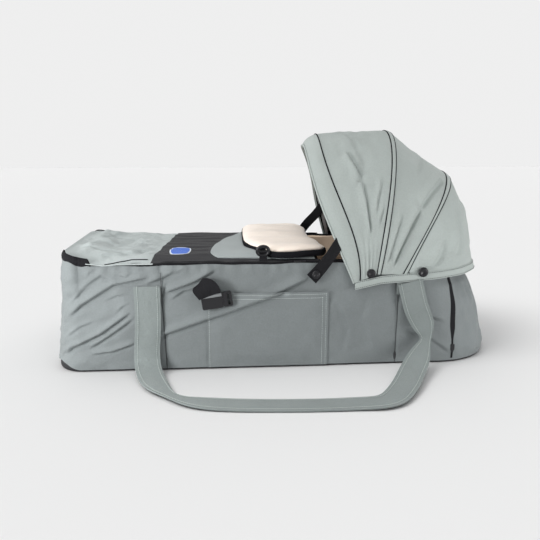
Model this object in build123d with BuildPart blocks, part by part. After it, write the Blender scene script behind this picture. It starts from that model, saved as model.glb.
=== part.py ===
"""Soft carrycot for a baby: a padded fabric cot with a zipped apron, a folding hood and two carry straps.

Frame: millimetres, +Z up, +X towards the head end, -Y is the pocket side ("near").
Origin: on the ground, under the centre of the whole carrycot.
"""
import os
from math import asin, cos, degrees, radians, sin

from build123d import *

os.makedirs("parts", exist_ok=True)

# ---------------------------------------------------------------- driving dimensions
FOOT_X = -412.2          # outer face of the foot wall
HEAD_X = 402.0           # outer face of the head wall
HALF_WIDTH = 180.0       # outer face of each side wall
WALL_TOP = 186.0         # top of the padded walls, under the rim binding
RIM_TOP = 190.0
FOOT_RADIUS = 55.0       # plan corners
HEAD_RADIUS = 115.0
SKIN = 1.5               # outer fabric
FOAM = 10.0              # wall padding
BASE_SKIN = 3.0          # ground sheet
BOARD = 4.0              # stiff floor board
MATTRESS = 30.0

HUB_X = 153.0            # hood pivot, on both side walls
HUB_Z = 172.0
HOOD_REACH = 255.0       # pivot to the top of each bow
BOW_THICK = 1.6
BOW_WIDTH = 8.0
BOW_ANGLES = {"rear": 40.8, "mid": 74.6, "front": 109.0}
BOW_HALF_WIDTHS = {"rear": 181.2, "mid": 183.1, "front": 185.0}
BOW_LEG = 62.0           # straight legs below each bow's half ellipse
HEM_SQUARENESS = 4.2     # exponent of the hem's superellipse
HEM_HALF_WIDTH = 187.0
HEM_REACH = 259.5
HEM_BOTTOM = 142.0
HEM_TOP = 190.8
CHANNEL_START = 95.0     # distance from the pivot where the fabric sleeves begin
PANEL_START = 70.0
FABRIC = 1.2
CHANNEL_HALF = 2.2       # sleeve half thickness about the bow
CHANNEL_WIDTH = 11.0
VISOR_WIDTH = 30.0
HUB_PIN_R = 2.5
HUB_CLEAR = 0.05

STRAP_WIDTH = 45.0       # carry straps
STRAP_THICK = 3.0
STRAP_FOOT_X = -240.5    # centre of the strap at the foot-end stitching
STRAP_HEAD_X = 238.0
STRAP_Y = 190.0          # strap centre, outside the wall
STRAP_HINGE_Z = 139.0
FLOOR_HINGE_Z = 6.0

BUCKLE_X = -146.0        # middle of the buckle socket's closed end
BUCKLE_Z = 126.0
BUCKLE_TILT = 8.0        # the buckle hangs with its plug end raised
BUCKLE_Y = 186.4         # back face of the buckle, clear of the pocket
SOCKET_LENGTH = 37.0
BUCKLE_HEIGHT = 27.0
BUCKLE_THICK = 9.0
BUCKLE_WALL = 1.5

APRON_BOTTOM = RIM_TOP + 0.4
APRON_TOP = 198.0
APRON_INSET = 12.0       # in from the outer wall, which leaves the zips free
APRON_HEAD_X = 60.0      # fold line between the apron and its bib
BIB_FOOT_X = -62.0
BIB_HALF_WIDTH = 166.0
BIB_BOTTOM = 201.4
BIB_TOP = 214.0


def save(builder, name):
    """Label one finished piece and write it."""
    builder.part.label = name
    export_step(builder.part, f"parts/{name}.step")


def plan(inset, mode=Mode.ADD):
    """The cot's outline from above, moved inwards by inset, on the current sketch."""
    left = FOOT_X + inset
    right = HEAD_X - inset
    half = HALF_WIDTH - inset
    foot = FOOT_RADIUS - inset
    head = HEAD_RADIUS - inset
    with BuildLine(mode=Mode.PRIVATE) as edge:
        near = Line((left + foot, -half), (right - head, -half))
        head_near = JernArc(near @ 1, near % 1, head, 90)
        head_end = Line(head_near @ 1, (right, half - head))
        head_far = JernArc(head_end @ 1, head_end % 1, head, 90)
        far = Line(head_far @ 1, (left + foot, half))
        foot_far = JernArc(far @ 1, far % 1, foot, 90)
        foot_end = Line(foot_far @ 1, (left, foot - half))
        JernArc(foot_end @ 1, foot_end % 1, foot, 90)
    make_face(edge.edges(), mode=mode)


def keep_between(low_x, high_x, low_y=-400.0, high_y=400.0):
    """Keep only a rectangle of the current sketch."""
    with Locations(((low_x + high_x) / 2, (low_y + high_y) / 2)):
        Rectangle(high_x - low_x, high_y - low_y, mode=Mode.INTERSECT)


def ring_piece(outer, inner, bottom, top, window):
    """A stretch of the wall: the ring between two insets, cut to a window in plan."""
    with BuildPart() as piece:
        with BuildSketch(Plane.XY.offset(bottom)):
            plan(outer)
            plan(inner, mode=Mode.SUBTRACT)
            keep_between(*window)
        extrude(amount=top - bottom)
    return piece


def far_twin(source):
    """The same piece on the far side."""
    with BuildPart() as twin:
        mirror(source.part, about=Plane.XZ)
    return twin


def save_pair(source, name):
    """One piece on each side, each in its own node."""
    save(source, f"{name}_near")
    save(far_twin(source), f"{name}_far")


def save_both(source, name):
    """One node that holds the piece and its twin on the far side."""
    with BuildPart() as both:
        add(source.part)
        mirror(source.part, about=Plane.XZ)
    save(both, name)


# ---------------------------------------------------------------- floor of the cot
with BuildPart() as base_cover:
    with BuildSketch():
        plan(0)
    extrude(amount=BASE_SKIN)
save(base_cover, "base_cover")

with BuildPart() as base_board:
    with BuildSketch(Plane.XY.offset(BASE_SKIN)):
        plan(SKIN + BOARD)
    extrude(amount=BOARD)
save(base_board, "base_board")

WHOLE = (-500.0, 500.0)
floor_top = BASE_SKIN + BOARD
save(ring_piece(SKIN + 0.05, SKIN + BOARD, BASE_SKIN, floor_top, WHOLE), "base_piping")

# ---------------------------------------------------------------- walls
foot_seam = FOOT_X + FOOT_RADIUS
head_seam = HEAD_X - HEAD_RADIUS
WALL_WINDOWS = {
    "near": (foot_seam, head_seam, -400.0, 0.0),
    "far": (foot_seam, head_seam, 0.0, 400.0),
    "foot": (-500.0, foot_seam),
    "head": (head_seam, 500.0),
}
PANEL_NAMES = {"near": "side_panel_near", "far": "side_panel_far", "foot": "foot_panel", "head": "head_panel"}
for place, window in WALL_WINDOWS.items():
    save(ring_piece(0, SKIN, BASE_SKIN, WALL_TOP, window), PANEL_NAMES[place])
    save(ring_piece(SKIN, SKIN + FOAM, floor_top, WALL_TOP, window), f"wall_foam_{place}")

lining_outer = SKIN + FOAM
with BuildPart() as lining:
    with BuildSketch(Plane.XY.offset(floor_top)):
        plan(lining_outer)
    extrude(amount=WALL_TOP - floor_top)
    with BuildSketch(Plane.XY.offset(floor_top + SKIN)):
        plan(lining_outer + SKIN)
    extrude(amount=WALL_TOP, mode=Mode.SUBTRACT)
save(lining, "lining")

mattress_bottom = floor_top + SKIN
with BuildPart() as mattress:
    with BuildSketch(Plane.XY.offset(mattress_bottom)):
        plan(lining_outer + SKIN + 2)
    extrude(amount=MATTRESS)
    fillet(mattress.edges().group_by(Axis.Z)[-1], 10)
save(mattress, "mattress")

save(ring_piece(0, lining_outer + SKIN, WALL_TOP, RIM_TOP, WHOLE), "rim_binding")

# A ribbed strip round the top of the foot end.
STRIP_THICK = 1.5
save(ring_piece(-STRIP_THICK, 0, 172.0, WALL_TOP, (-500.0, -338.0)), "foot_strip")

# ---------------------------------------------------------------- pocket on the near side
POCKET = (-137.0, 78.0)  # from, to along X
POCKET_BOTTOM = 6.0
POCKET_TOP = 140.0
POCKET_DEPTH = 4.8
POCKET_SEAM = 6.0
wall_plane = Plane.XZ.offset(HALF_WIDTH)   # faces -Y, on the near wall
pocket_centre = ((POCKET[0] + POCKET[1]) / 2, (POCKET_BOTTOM + POCKET_TOP) / 2)
with BuildPart() as pocket:
    with BuildSketch(wall_plane):
        with Locations(pocket_centre):
            Rectangle(POCKET[1] - POCKET[0], POCKET_TOP - POCKET_BOTTOM)
    extrude(amount=POCKET_DEPTH + FABRIC)
    with BuildSketch(wall_plane):
        with Locations((pocket_centre[0], pocket_centre[1] + POCKET_SEAM)):
            Rectangle(POCKET[1] - POCKET[0] - 2 * POCKET_SEAM, POCKET_TOP - POCKET_BOTTOM)
    extrude(amount=POCKET_DEPTH, mode=Mode.SUBTRACT)
save(pocket, "pocket")

# ---------------------------------------------------------------- carry straps
ANCHOR_HEIGHT = 13.0
ANCHOR_DEPTH = 7.2
with BuildPart() as strap_anchors:
    with BuildSketch(wall_plane):
        with Locations((STRAP_FOOT_X, STRAP_HINGE_Z - 4), (STRAP_HEAD_X, STRAP_HINGE_Z - 4)):
            Rectangle(STRAP_WIDTH, ANCHOR_HEIGHT)
    extrude(amount=ANCHOR_DEPTH)
save_both(strap_anchors, "strap_anchors")

leg_top = STRAP_HINGE_Z - 2
leg_bottom = FLOOR_HINGE_Z + 2.5
with BuildPart() as strap_legs:
    with BuildSketch(Plane.XZ.offset(STRAP_Y - STRAP_THICK / 2)):
        with Locations((STRAP_FOOT_X, (leg_top + leg_bottom) / 2), (STRAP_HEAD_X, (leg_top + leg_bottom) / 2)):
            Rectangle(STRAP_WIDTH, leg_top - leg_bottom)
    extrude(amount=STRAP_THICK)
save_pair(strap_legs, "strap_legs")

with BuildPart() as strap_loop:
    with BuildSketch():
        with BuildLine():
            FilletPolyline(
                (STRAP_FOOT_X, -STRAP_Y - 4),
                (STRAP_FOOT_X + 6, -270),
                (-150, -335),
                (0, -352),
                (140, -357),
                (205, -315),
                (STRAP_HEAD_X, -250),
                (STRAP_HEAD_X, -STRAP_Y - 4),
                radius=(26, 60, 200, 80, 50, 30),
            )
        trace(line_width=STRAP_WIDTH)
    extrude(amount=STRAP_THICK)
save_pair(strap_loop, "strap_loop")

# ---------------------------------------------------------------- zips
ZIP_START = -290.0
ZIP_END = 30.0
ZIP_Y = 174.5
ZIP_TAPE = 1.2
ZIP_WIDTH = 9.0
with BuildPart() as side_zip:
    with BuildSketch(Plane.XY.offset(RIM_TOP)):
        with Locations(((ZIP_START + ZIP_END) / 2, -ZIP_Y)):
            Rectangle(ZIP_END - ZIP_START, ZIP_WIDTH)
    extrude(amount=ZIP_TAPE)
save_both(side_zip, "side_zip_tapes")

SLIDER = 12.0
SLIDER_WIDTH = 8.0
SLIDER_THICK = 3.0
PULL = 15.0
PULL_WIDTH = 5.0
PULL_THICK = 1.4
SLIDER_GAP = 0.3
slider_x = ZIP_END - SLIDER / 2 - 1
top_plane = Plane.XY.offset(RIM_TOP + ZIP_TAPE + SLIDER_GAP)
with BuildPart() as side_slider:
    with BuildSketch(top_plane):
        with Locations((slider_x, -ZIP_Y)):
            RectangleRounded(SLIDER, SLIDER_WIDTH, 2)
    extrude(amount=SLIDER_THICK)
    with BuildSketch(top_plane.offset(SLIDER_THICK / 2)):
        with Locations((slider_x + PULL / 2, -ZIP_Y)):
            RectangleRounded(PULL, PULL_WIDTH, 1.5)
    extrude(amount=PULL_THICK)
save_pair(side_slider, "side_zip_slider")

HEAD_ZIP_X = 311.0       # on the rounded corner of the head end
HEAD_ZIP_BOTTOM = 8.0
HEAD_ZIP_TOP = 140.0
corner_turn = asin((HEAD_ZIP_X - head_seam) / HEAD_RADIUS)
corner_plane = Plane(
    origin=(HEAD_ZIP_X, HEAD_RADIUS - HALF_WIDTH - HEAD_RADIUS * cos(corner_turn), 0),
    x_dir=(cos(corner_turn), sin(corner_turn), 0),
    z_dir=(sin(corner_turn), -cos(corner_turn), 0),
)
slider_plane = corner_plane.offset(ZIP_TAPE + SLIDER_GAP)
with BuildPart() as head_zip:
    with BuildSketch(corner_plane):
        with Locations((0, (HEAD_ZIP_BOTTOM + HEAD_ZIP_TOP) / 2)):
            Rectangle(ZIP_WIDTH, HEAD_ZIP_TOP - HEAD_ZIP_BOTTOM)
    extrude(amount=ZIP_TAPE)
save_both(head_zip, "head_zip_tapes")

with BuildPart() as head_slider:
    with BuildSketch(slider_plane):
        with Locations((0, HEAD_ZIP_BOTTOM + SLIDER / 2 + PULL)):
            RectangleRounded(SLIDER_WIDTH, SLIDER, 2)
    extrude(amount=SLIDER_THICK)
    with BuildSketch(slider_plane.offset(SLIDER_THICK / 2)):
        with Locations((0, HEAD_ZIP_BOTTOM + SLIDER + PULL / 2)):
            RectangleRounded(PULL_WIDTH, PULL, 1.5)
    extrude(amount=PULL_THICK)
save_pair(head_slider, "head_zip_slider")

# ---------------------------------------------------------------- stroller buckles
# Buckle sketches run along the buckle from its closed end, and up from its centre line.
buckle_plane = Plane(
    origin=(BUCKLE_X, -BUCKLE_Y, BUCKLE_Z),
    x_dir=(cos(radians(BUCKLE_TILT)), 0, sin(radians(BUCKLE_TILT))),
    z_dir=(0, -1, 0),
)
with BuildPart() as socket:
    with BuildSketch(buckle_plane):
        with Locations((SOCKET_LENGTH / 2, 0)):
            RectangleRounded(SOCKET_LENGTH, BUCKLE_HEIGHT, 3)
    extrude(amount=BUCKLE_THICK)
    with BuildSketch(buckle_plane.offset(BUCKLE_WALL)):
        with Locations((SOCKET_LENGTH / 2 + BUCKLE_WALL, 0)):
            Rectangle(SOCKET_LENGTH, BUCKLE_HEIGHT - 2 * BUCKLE_WALL)
        with Locations((SOCKET_LENGTH / 2, 0)):
            Rectangle(SOCKET_LENGTH / 2, BUCKLE_HEIGHT + 2)
    extrude(amount=BUCKLE_THICK - 2 * BUCKLE_WALL, mode=Mode.SUBTRACT)
save_both(socket, "buckle_sockets")

tongue_plane = buckle_plane.offset(BUCKLE_WALL + 0.6)
tongue_depth = BUCKLE_THICK - 2 * BUCKLE_WALL - 1.2
plug_start = SOCKET_LENGTH + 0.4
with BuildPart() as plug:
    with BuildSketch(buckle_plane.offset(0.4)):
        with Locations((plug_start + 8, 0)):
            RectangleRounded(16, BUCKLE_HEIGHT - 1, 3)
        with Locations((plug_start + 10, 0)):
            Rectangle(4, BUCKLE_HEIGHT - 7, mode=Mode.SUBTRACT)
    extrude(amount=BUCKLE_THICK - 0.8)
    with BuildSketch(tongue_plane):
        with Locations((plug_start - 14, 0)):
            Rectangle(32, 2.4)
    extrude(amount=tongue_depth)
save_pair(plug, "buckle_plug")

PRONG_ROOT = 8.0         # from the buckle's centre line to the middle of each prong's root
for place, up in {"upper": 1, "lower": -1}.items():
    with BuildPart() as prong:
        with BuildSketch(tongue_plane):
            with BuildLine():
                Polyline(
                    (plug_start - 0.3, up * (PRONG_ROOT + 1.5)),
                    (plug_start - 0.3, up * (PRONG_ROOT - 1.5)),
                    (plug_start - 29, up * (PRONG_ROOT - 1.5)),
                    (plug_start - 31, up * (PRONG_ROOT + 1)),
                    (plug_start - 24, up * (PRONG_ROOT + 3.4)),
                    (plug_start - 12, up * (PRONG_ROOT + 3.4)),
                    (plug_start - 8, up * (PRONG_ROOT + 1.5)),
                    close=True,
                )
            make_face()
        extrude(amount=tongue_depth)
    save_pair(prong, f"buckle_prong_{place}")

WEBBING = 1.4
webbing_top = BUCKLE_Z + 35
webbing_foot = BUCKLE_Z - 9
with BuildPart() as buckle_webbing:
    with BuildSketch(Plane.YZ.offset(BUCKLE_X - 16)):
        with BuildLine():
            Polyline(
                (-HALF_WIDTH, webbing_top),
                (-HALF_WIDTH, webbing_top - 4),
                (-BUCKLE_Y - 1.6, webbing_foot),
                (-BUCKLE_Y - 1.6 - WEBBING, webbing_foot),
                (-HALF_WIDTH - WEBBING, webbing_top),
                close=True,
            )
        make_face()
    extrude(amount=14)
save_both(buckle_webbing, "buckle_webbings")

# ---------------------------------------------------------------- hood strap with its snap
SNAP_STRAP = (55.0, 171.0)     # centre of the snap
SNAP_STRAP_LENGTH = 78.0
SNAP_STRAP_ANGLE = 52.0
strap_plane = wall_plane.offset(0.4)
with BuildPart() as snap_strap:
    with BuildSketch(strap_plane):
        middle = (
            SNAP_STRAP[0] + 0.33 * SNAP_STRAP_LENGTH * cos(radians(SNAP_STRAP_ANGLE)),
            SNAP_STRAP[1] + 0.33 * SNAP_STRAP_LENGTH * sin(radians(SNAP_STRAP_ANGLE)),
        )
        with Locations(middle):
            Rectangle(SNAP_STRAP_LENGTH, 20, rotation=SNAP_STRAP_ANGLE)
    extrude(amount=WEBBING)
save_pair(snap_strap, "hood_strap")

SNAP_R = 8.8
with BuildPart() as strap_snap:
    with BuildSketch(strap_plane.offset(WEBBING)):
        with Locations(SNAP_STRAP):
            Circle(SNAP_R)
    extrude(amount=3.2)
    fillet(strap_snap.faces().sort_by(Axis.Y)[0].edges(), 1.5)
save_pair(strap_snap, "hood_strap_snap")

# ---------------------------------------------------------------- hood
OUTLINE_STEPS = 24


def bow_arch(half_width, reach, start):
    """One bow's outline: a half ellipse on two legs; start trims its feet. Gives back the two feet."""
    rise = reach - BOW_LEG
    trim = degrees(asin(max(start - BOW_LEG, 0) / rise))
    over = EllipticalCenterArc((0, BOW_LEG), half_width, rise, trim, arc_size=180 - 2 * trim)
    if start >= BOW_LEG:
        return over @ 0, over @ 1
    first = Line((half_width, start), over @ 0)
    last = Line(over @ 1, (-half_width, start))
    return first @ 0, last @ 1


def hem_arch(half_width, reach, start):
    """The hem's outline: a superellipse round the head end, trimmed at start. Gives back its two ends."""
    power = 2 / HEM_SQUARENESS
    low = (start / reach) ** (1 / power)
    points = []
    for step in range(OUTLINE_STEPS + 1):
        turn = radians(180 * step / OUTLINE_STEPS)
        lifted = low + (1 - low) * sin(turn)
        span = max(1 - lifted ** 2, 0.0) ** 0.5
        side = 1 if cos(turn) >= 0 else -1
        points.append((side * half_width * span ** power, reach * lifted ** power))
    edge = Spline(*points)
    return edge @ 0, edge @ 1


def arch_face(outline, half_width, reach, thick_out, thick_in, start):
    """The band between two arches of one kind, on the current sketch."""
    with BuildLine(mode=Mode.PRIVATE) as edge:
        outer_feet = outline(half_width + thick_out, reach + thick_out, start)
        inner_feet = outline(half_width - thick_in, reach - thick_in, start)
        Line(outer_feet[0], inner_feet[0])
        Line(outer_feet[1], inner_feet[1])
    make_face(edge.edges())


def bow_plane(angle, shift=0.0):
    """Plane of a bow: its x runs along -Y, its y runs out from the pivot, its normal leads forwards."""
    out = (cos(radians(angle)), 0, sin(radians(angle)))
    ahead = (-out[2], 0, out[0])
    origin = (HUB_X + shift * ahead[0], 0, HUB_Z + shift * ahead[2])
    return Plane(origin=origin, x_dir=(0, -1, 0), z_dir=ahead)


def bow(name):
    """A flat spring-steel bow with an eye on the pivot at each end."""
    plane = bow_plane(BOW_ANGLES[name])
    half = BOW_HALF_WIDTHS[name]
    with BuildPart() as piece:
        with BuildSketch(plane.offset(-BOW_WIDTH / 2)):
            arch_face(bow_arch, half, HOOD_REACH, BOW_THICK / 2, BOW_THICK / 2, 0)
        extrude(amount=BOW_WIDTH)
        for side in (1, -1):
            eye = Plane(origin=(HUB_X, side * (half - BOW_THICK / 2), HUB_Z), z_dir=(0, side, 0))
            with BuildSketch(eye):
                Circle(7)
            extrude(amount=BOW_THICK)
        with BuildSketch(Plane.XZ.offset(-200)):
            with Locations((HUB_X, HUB_Z)):
                Circle(HUB_PIN_R + HUB_CLEAR)
        extrude(amount=400, mode=Mode.SUBTRACT)
    return piece


def sleeve(name, width):
    """The sewn fabric sleeve round a bow, closed at its feet."""
    plane = bow_plane(BOW_ANGLES[name])
    half = BOW_HALF_WIDTHS[name]
    with BuildPart() as piece:
        with BuildSketch(plane.offset(-width / 2)):
            arch_face(bow_arch, half, HOOD_REACH, CHANNEL_HALF, CHANNEL_HALF, CHANNEL_START)
        extrude(amount=width)
        with BuildSketch(plane.offset(-BOW_WIDTH / 2)):
            arch_face(bow_arch, half, HOOD_REACH, BOW_THICK / 2, BOW_THICK / 2, 0)
        extrude(amount=BOW_WIDTH, mode=Mode.SUBTRACT)
    return piece


def panel(low_plane, low_arch, high_plane, high_arch):
    """A fabric panel stretched between two arches."""
    with BuildPart() as piece:
        with BuildSketch(low_plane):
            arch_face(*low_arch)
        with BuildSketch(high_plane):
            arch_face(*high_arch)
        loft(ruled=True)
    return piece


for bow_name in BOW_ANGLES:
    save(bow(bow_name), f"bow_{bow_name}")
save(sleeve("rear", CHANNEL_WIDTH), "sleeve_rear")
save(sleeve("mid", CHANNEL_WIDTH), "sleeve_mid")
save(sleeve("front", VISOR_WIDTH), "hood_visor")

gap = CHANNEL_WIDTH / 2 + 0.5
visor_gap = VISOR_WIDTH / 2 + 0.5
hood_edge = (bow_arch, BOW_HALF_WIDTHS["mid"], HOOD_REACH, FABRIC, 0, PANEL_START)
hem_edge = (hem_arch, HEM_HALF_WIDTH, HEM_REACH, FABRIC, 0, PANEL_START)
save(
    panel(bow_plane(0, HEM_TOP - HUB_Z + 0.5), hem_edge, bow_plane(BOW_ANGLES["rear"], -gap), hood_edge),
    "hood_panel_rear",
)
save(
    panel(bow_plane(BOW_ANGLES["rear"], gap), hood_edge, bow_plane(BOW_ANGLES["mid"], -gap), hood_edge),
    "hood_panel_mid",
)
save(
    panel(bow_plane(BOW_ANGLES["mid"], gap), hood_edge, bow_plane(BOW_ANGLES["front"], -visor_gap), hood_edge),
    "hood_panel_front",
)

HEM_START = 14.0         # from the pivot, clear of the hub caps
with BuildPart() as hood_hem:
    with BuildSketch(bow_plane(0, HEM_BOTTOM - HUB_Z)):
        arch_face(hem_arch, HEM_HALF_WIDTH, HEM_REACH, FABRIC, 0, HEM_START)
    extrude(amount=HEM_TOP - HEM_BOTTOM)
save(hood_hem, "hood_hem")

with BuildPart() as hood_hubs:
    with BuildSketch(wall_plane):
        with Locations((HUB_X, HUB_Z)):
            Circle(HUB_PIN_R)
    extrude(amount=6.4)
    with BuildSketch(wall_plane.offset(6.2)):
        with Locations((HUB_X, HUB_Z)):
            Circle(SNAP_R)
    extrude(amount=3)
    fillet(hood_hubs.faces().sort_by(Axis.Y)[0].edges(), 1.4)
save_both(hood_hubs, "hood_hubs")

HEM_SNAP = (247.0, 160.0)
with BuildPart() as hem_snaps:
    with BuildSketch(wall_plane.offset(6.6)):
        with Locations(HEM_SNAP):
            Circle(SNAP_R)
    extrude(amount=4)
    fillet(hem_snaps.faces().sort_by(Axis.Y)[0].edges(), 1.4)
save_both(hem_snaps, "hem_snaps")

# ---------------------------------------------------------------- apron over the foot end
with BuildPart() as apron_cover:
    with BuildSketch(Plane.XY.offset(APRON_BOTTOM)):
        plan(APRON_INSET)
        keep_between(-500, APRON_HEAD_X)
    extrude(amount=APRON_TOP - APRON_BOTTOM)
    fillet(apron_cover.edges().group_by(Axis.Z)[-1], 3)
save(apron_cover, "apron_cover")

BAND = (-215.0, -118.0)
with BuildPart() as apron_band:
    with BuildSketch(Plane.XY.offset(APRON_TOP)):
        plan(APRON_INSET + 6)
        keep_between(*BAND)
    extrude(amount=FABRIC)
save(apron_band, "apron_band")

with BuildPart() as apron_inset:
    with BuildSketch(Plane.XY.offset(APRON_TOP)):
        plan(APRON_INSET + 10)
        keep_between(BAND[1] + 1, APRON_HEAD_X - 8)
    extrude(amount=FABRIC)
save(apron_inset, "apron_inset")

with BuildPart() as apron_label:
    with BuildSketch(Plane.XY.offset(APRON_TOP + FABRIC)):
        with Locations((-183, -58)):
            RectangleRounded(36, 46, 8)
    extrude(amount=0.8)
save(apron_label, "apron_label")

# ---------------------------------------------------------------- bib, folded back on the apron
BIB_ROUND = 22.0
TRIM = 4.0
bib_middle = ((BIB_FOOT_X + APRON_HEAD_X) / 2, 0)
bib_length = APRON_HEAD_X - BIB_FOOT_X
with BuildPart() as bib_pad:
    with BuildSketch(Plane.XY.offset(BIB_BOTTOM)):
        with Locations(bib_middle):
            RectangleRounded(bib_length - 2 * TRIM, 2 * (BIB_HALF_WIDTH - TRIM), BIB_ROUND - TRIM)
    extrude(amount=BIB_TOP - BIB_BOTTOM)
    fillet(bib_pad.edges().group_by(Axis.Z)[-1], 5)
save(bib_pad, "bib_pad")

with BuildPart() as bib_trim:
    with BuildSketch(Plane.XY.offset(BIB_BOTTOM)):
        with Locations(bib_middle):
            RectangleRounded(bib_length, 2 * BIB_HALF_WIDTH, BIB_ROUND)
            RectangleRounded(
                bib_length - 2 * TRIM, 2 * (BIB_HALF_WIDTH - TRIM), BIB_ROUND - TRIM, mode=Mode.SUBTRACT
            )
    extrude(amount=7)
save(bib_trim, "bib_trim")

BUTTON = (-38.0, -140.0)
BUTTON_R = 10.0
with BuildPart() as bib_button:
    with BuildSketch(Plane.XY.offset(BIB_TOP)):
        with Locations(BUTTON):
            Circle(BUTTON_R)
    extrude(amount=3)
    fillet(bib_button.faces().sort_by(Axis.Z)[-1].edges(), 1.2)
    with BuildSketch(Plane.XY.offset(BIB_TOP)):
        with Locations((BUTTON[0], BUTTON[1] - BUTTON_R - 6)):
            RectangleRounded(9, 15, 2)
    extrude(amount=1.6)
save(bib_button, "bib_button")
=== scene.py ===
"""Looks of the soft carrycot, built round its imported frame.

Shapes are written in millimetres in the frame's axes (+Z up, +X to the head end, -Y the pocket side)
and scaled once, in `build_mesh`.
"""

import math

import bpy
import numpy as np
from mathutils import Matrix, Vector


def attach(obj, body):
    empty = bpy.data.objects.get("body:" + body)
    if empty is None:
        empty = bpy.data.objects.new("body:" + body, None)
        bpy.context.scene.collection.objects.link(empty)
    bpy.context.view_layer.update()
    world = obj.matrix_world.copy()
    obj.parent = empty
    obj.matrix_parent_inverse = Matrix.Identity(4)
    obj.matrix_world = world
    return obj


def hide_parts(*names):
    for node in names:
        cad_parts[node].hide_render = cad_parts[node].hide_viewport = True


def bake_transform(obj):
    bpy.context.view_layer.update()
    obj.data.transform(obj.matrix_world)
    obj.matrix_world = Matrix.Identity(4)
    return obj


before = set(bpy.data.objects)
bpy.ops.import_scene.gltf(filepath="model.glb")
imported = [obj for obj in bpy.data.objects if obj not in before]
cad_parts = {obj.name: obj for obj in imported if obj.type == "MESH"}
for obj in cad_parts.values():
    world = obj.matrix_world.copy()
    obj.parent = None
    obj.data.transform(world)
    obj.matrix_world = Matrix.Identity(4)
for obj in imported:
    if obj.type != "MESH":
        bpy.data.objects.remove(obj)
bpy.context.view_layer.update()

MM = 0.001
NEAR, FAR = -1, 1
SIDES = {"near": NEAR, "far": FAR}

# ---------------------------------------------------------------- camera
camera_data = bpy.data.cameras.new("camera")
camera_data.sensor_width = 36
camera_data.lens = 41.333
camera_data.dof.use_dof = False
camera = bpy.data.objects.new("camera", camera_data)
bpy.context.scene.collection.objects.link(camera)
camera.location = (-0.11116, -1.24283, 0.39968)
camera.rotation_euler = (math.radians(90 - 11.66), 0, -0.08008)
bpy.context.scene.camera = camera

# ---------------------------------------------------------------- sizes, the same as the frame's
FOOT_X, HEAD_X = -412.2, 402.0
HALF_WIDTH = 180.0
FOOT_RADIUS, HEAD_RADIUS = 55.0, 115.0
RIM_TOP = 190.0
HUB = (153.0, 172.0)
HOOD_HALF = 185.0


# ---------------------------------------------------------------- materials
def new_material(name, colour, roughness, sheen=0.0, specular=0.3):
    """A plain principled material; gives back its node tree and shader."""
    made = bpy.data.materials.new(name)
    made.use_nodes = True
    shader = made.node_tree.nodes["Principled BSDF"]
    shader.inputs["Base Color"].default_value = (*colour, 1)
    shader.inputs["Roughness"].default_value = roughness
    shader.inputs["Sheen Weight"].default_value = sheen
    shader.inputs["Sheen Roughness"].default_value = 0.4
    shader.inputs["Specular IOR Level"].default_value = specular
    return made, made.node_tree, shader


def texture_node(tree, kind, coordinates, **settings):
    """A texture node fed with coordinates; settings are its sockets by name."""
    node = tree.nodes.new(kind)
    for socket, value in settings.items():
        node.inputs[socket.replace("_", " ")].default_value = value
    tree.links.new(coordinates, node.inputs["Vector"])
    return node


def noise(tree, coordinates, **settings):
    return texture_node(tree, "ShaderNodeTexNoise", coordinates, **settings).outputs["Fac"]


def math_node(tree, operation, first, second):
    """A maths node; each operand is a socket or a number."""
    node = tree.nodes.new("ShaderNodeMath")
    node.operation = operation
    for socket, value in zip(node.inputs, (first, second)):
        if isinstance(value, (int, float)):
            socket.default_value = value
        else:
            tree.links.new(value, socket)
    return node.outputs[0]


def tint(tree, shader, colour, amount, factor):
    """Varies the base colour between darker and lighter by amount, along factor."""
    mix = tree.nodes.new("ShaderNodeMix")
    mix.data_type = "RGBA"
    mix.inputs[6].default_value = (*[c * (1 - amount) for c in colour], 1)
    mix.inputs[7].default_value = (*[min(c * (1 + amount), 1) for c in colour], 1)
    tree.links.new(factor, mix.inputs[0])
    tree.links.new(mix.outputs[2], shader.inputs["Base Color"])


def bump(tree, shader, height, strength, distance):
    node = tree.nodes.new("ShaderNodeBump")
    node.inputs["Strength"].default_value = strength
    node.inputs["Distance"].default_value = distance
    tree.links.new(height, node.inputs["Height"])
    tree.links.new(node.outputs["Normal"], shader.inputs["Normal"])


RUMPLE = 5.0   # height of the fine wrinkles in a cloth, against its threads


def woven(name, colour, thread_mm, roughness=0.85, sheen=0.15, relief=0.5, mottle=0.10, weave=(1, 1),
          specular=0.3):
    """Cloth with warp and weft along the piece's own UVs, which are in metres."""
    made, tree, shader = new_material(name, colour, roughness, sheen, specular)
    uv = tree.nodes.new("ShaderNodeTexCoord").outputs["UV"]
    where = tree.nodes.new("ShaderNodeTexCoord").outputs["Object"]
    scale = 0.314 / (thread_mm * MM)
    threads = []
    for direction, share in zip(("X", "Y"), weave):
        wave = texture_node(tree, "ShaderNodeTexWave", uv, Scale=scale * share, Distortion=0.6, Detail=1.0)
        wave.bands_direction = direction
        threads.append(wave.outputs["Fac"])
    cloud = noise(tree, where, Scale=420.0, Detail=3.0)
    broad = noise(tree, where, Scale=14.0, Detail=2.0)
    fine = math_node(tree, "MULTIPLY", cloud, 0.6)
    soft = math_node(tree, "MULTIPLY", broad, 0.4)
    grain = math_node(tree, "ADD", fine, soft)
    tint(tree, shader, colour, mottle * 2, grain)
    height = math_node(tree, "ADD", threads[0], threads[1])
    height = math_node(tree, "ADD", height, math_node(tree, "MULTIPLY", cloud, 0.8))
    rumple = noise(tree, where, Scale=75.0, Detail=3.0, Distortion=1.4)
    height = math_node(tree, "ADD", height, math_node(tree, "MULTIPLY", rumple, RUMPLE))
    bump(tree, shader, height, relief, 0.0004)
    return made


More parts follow.
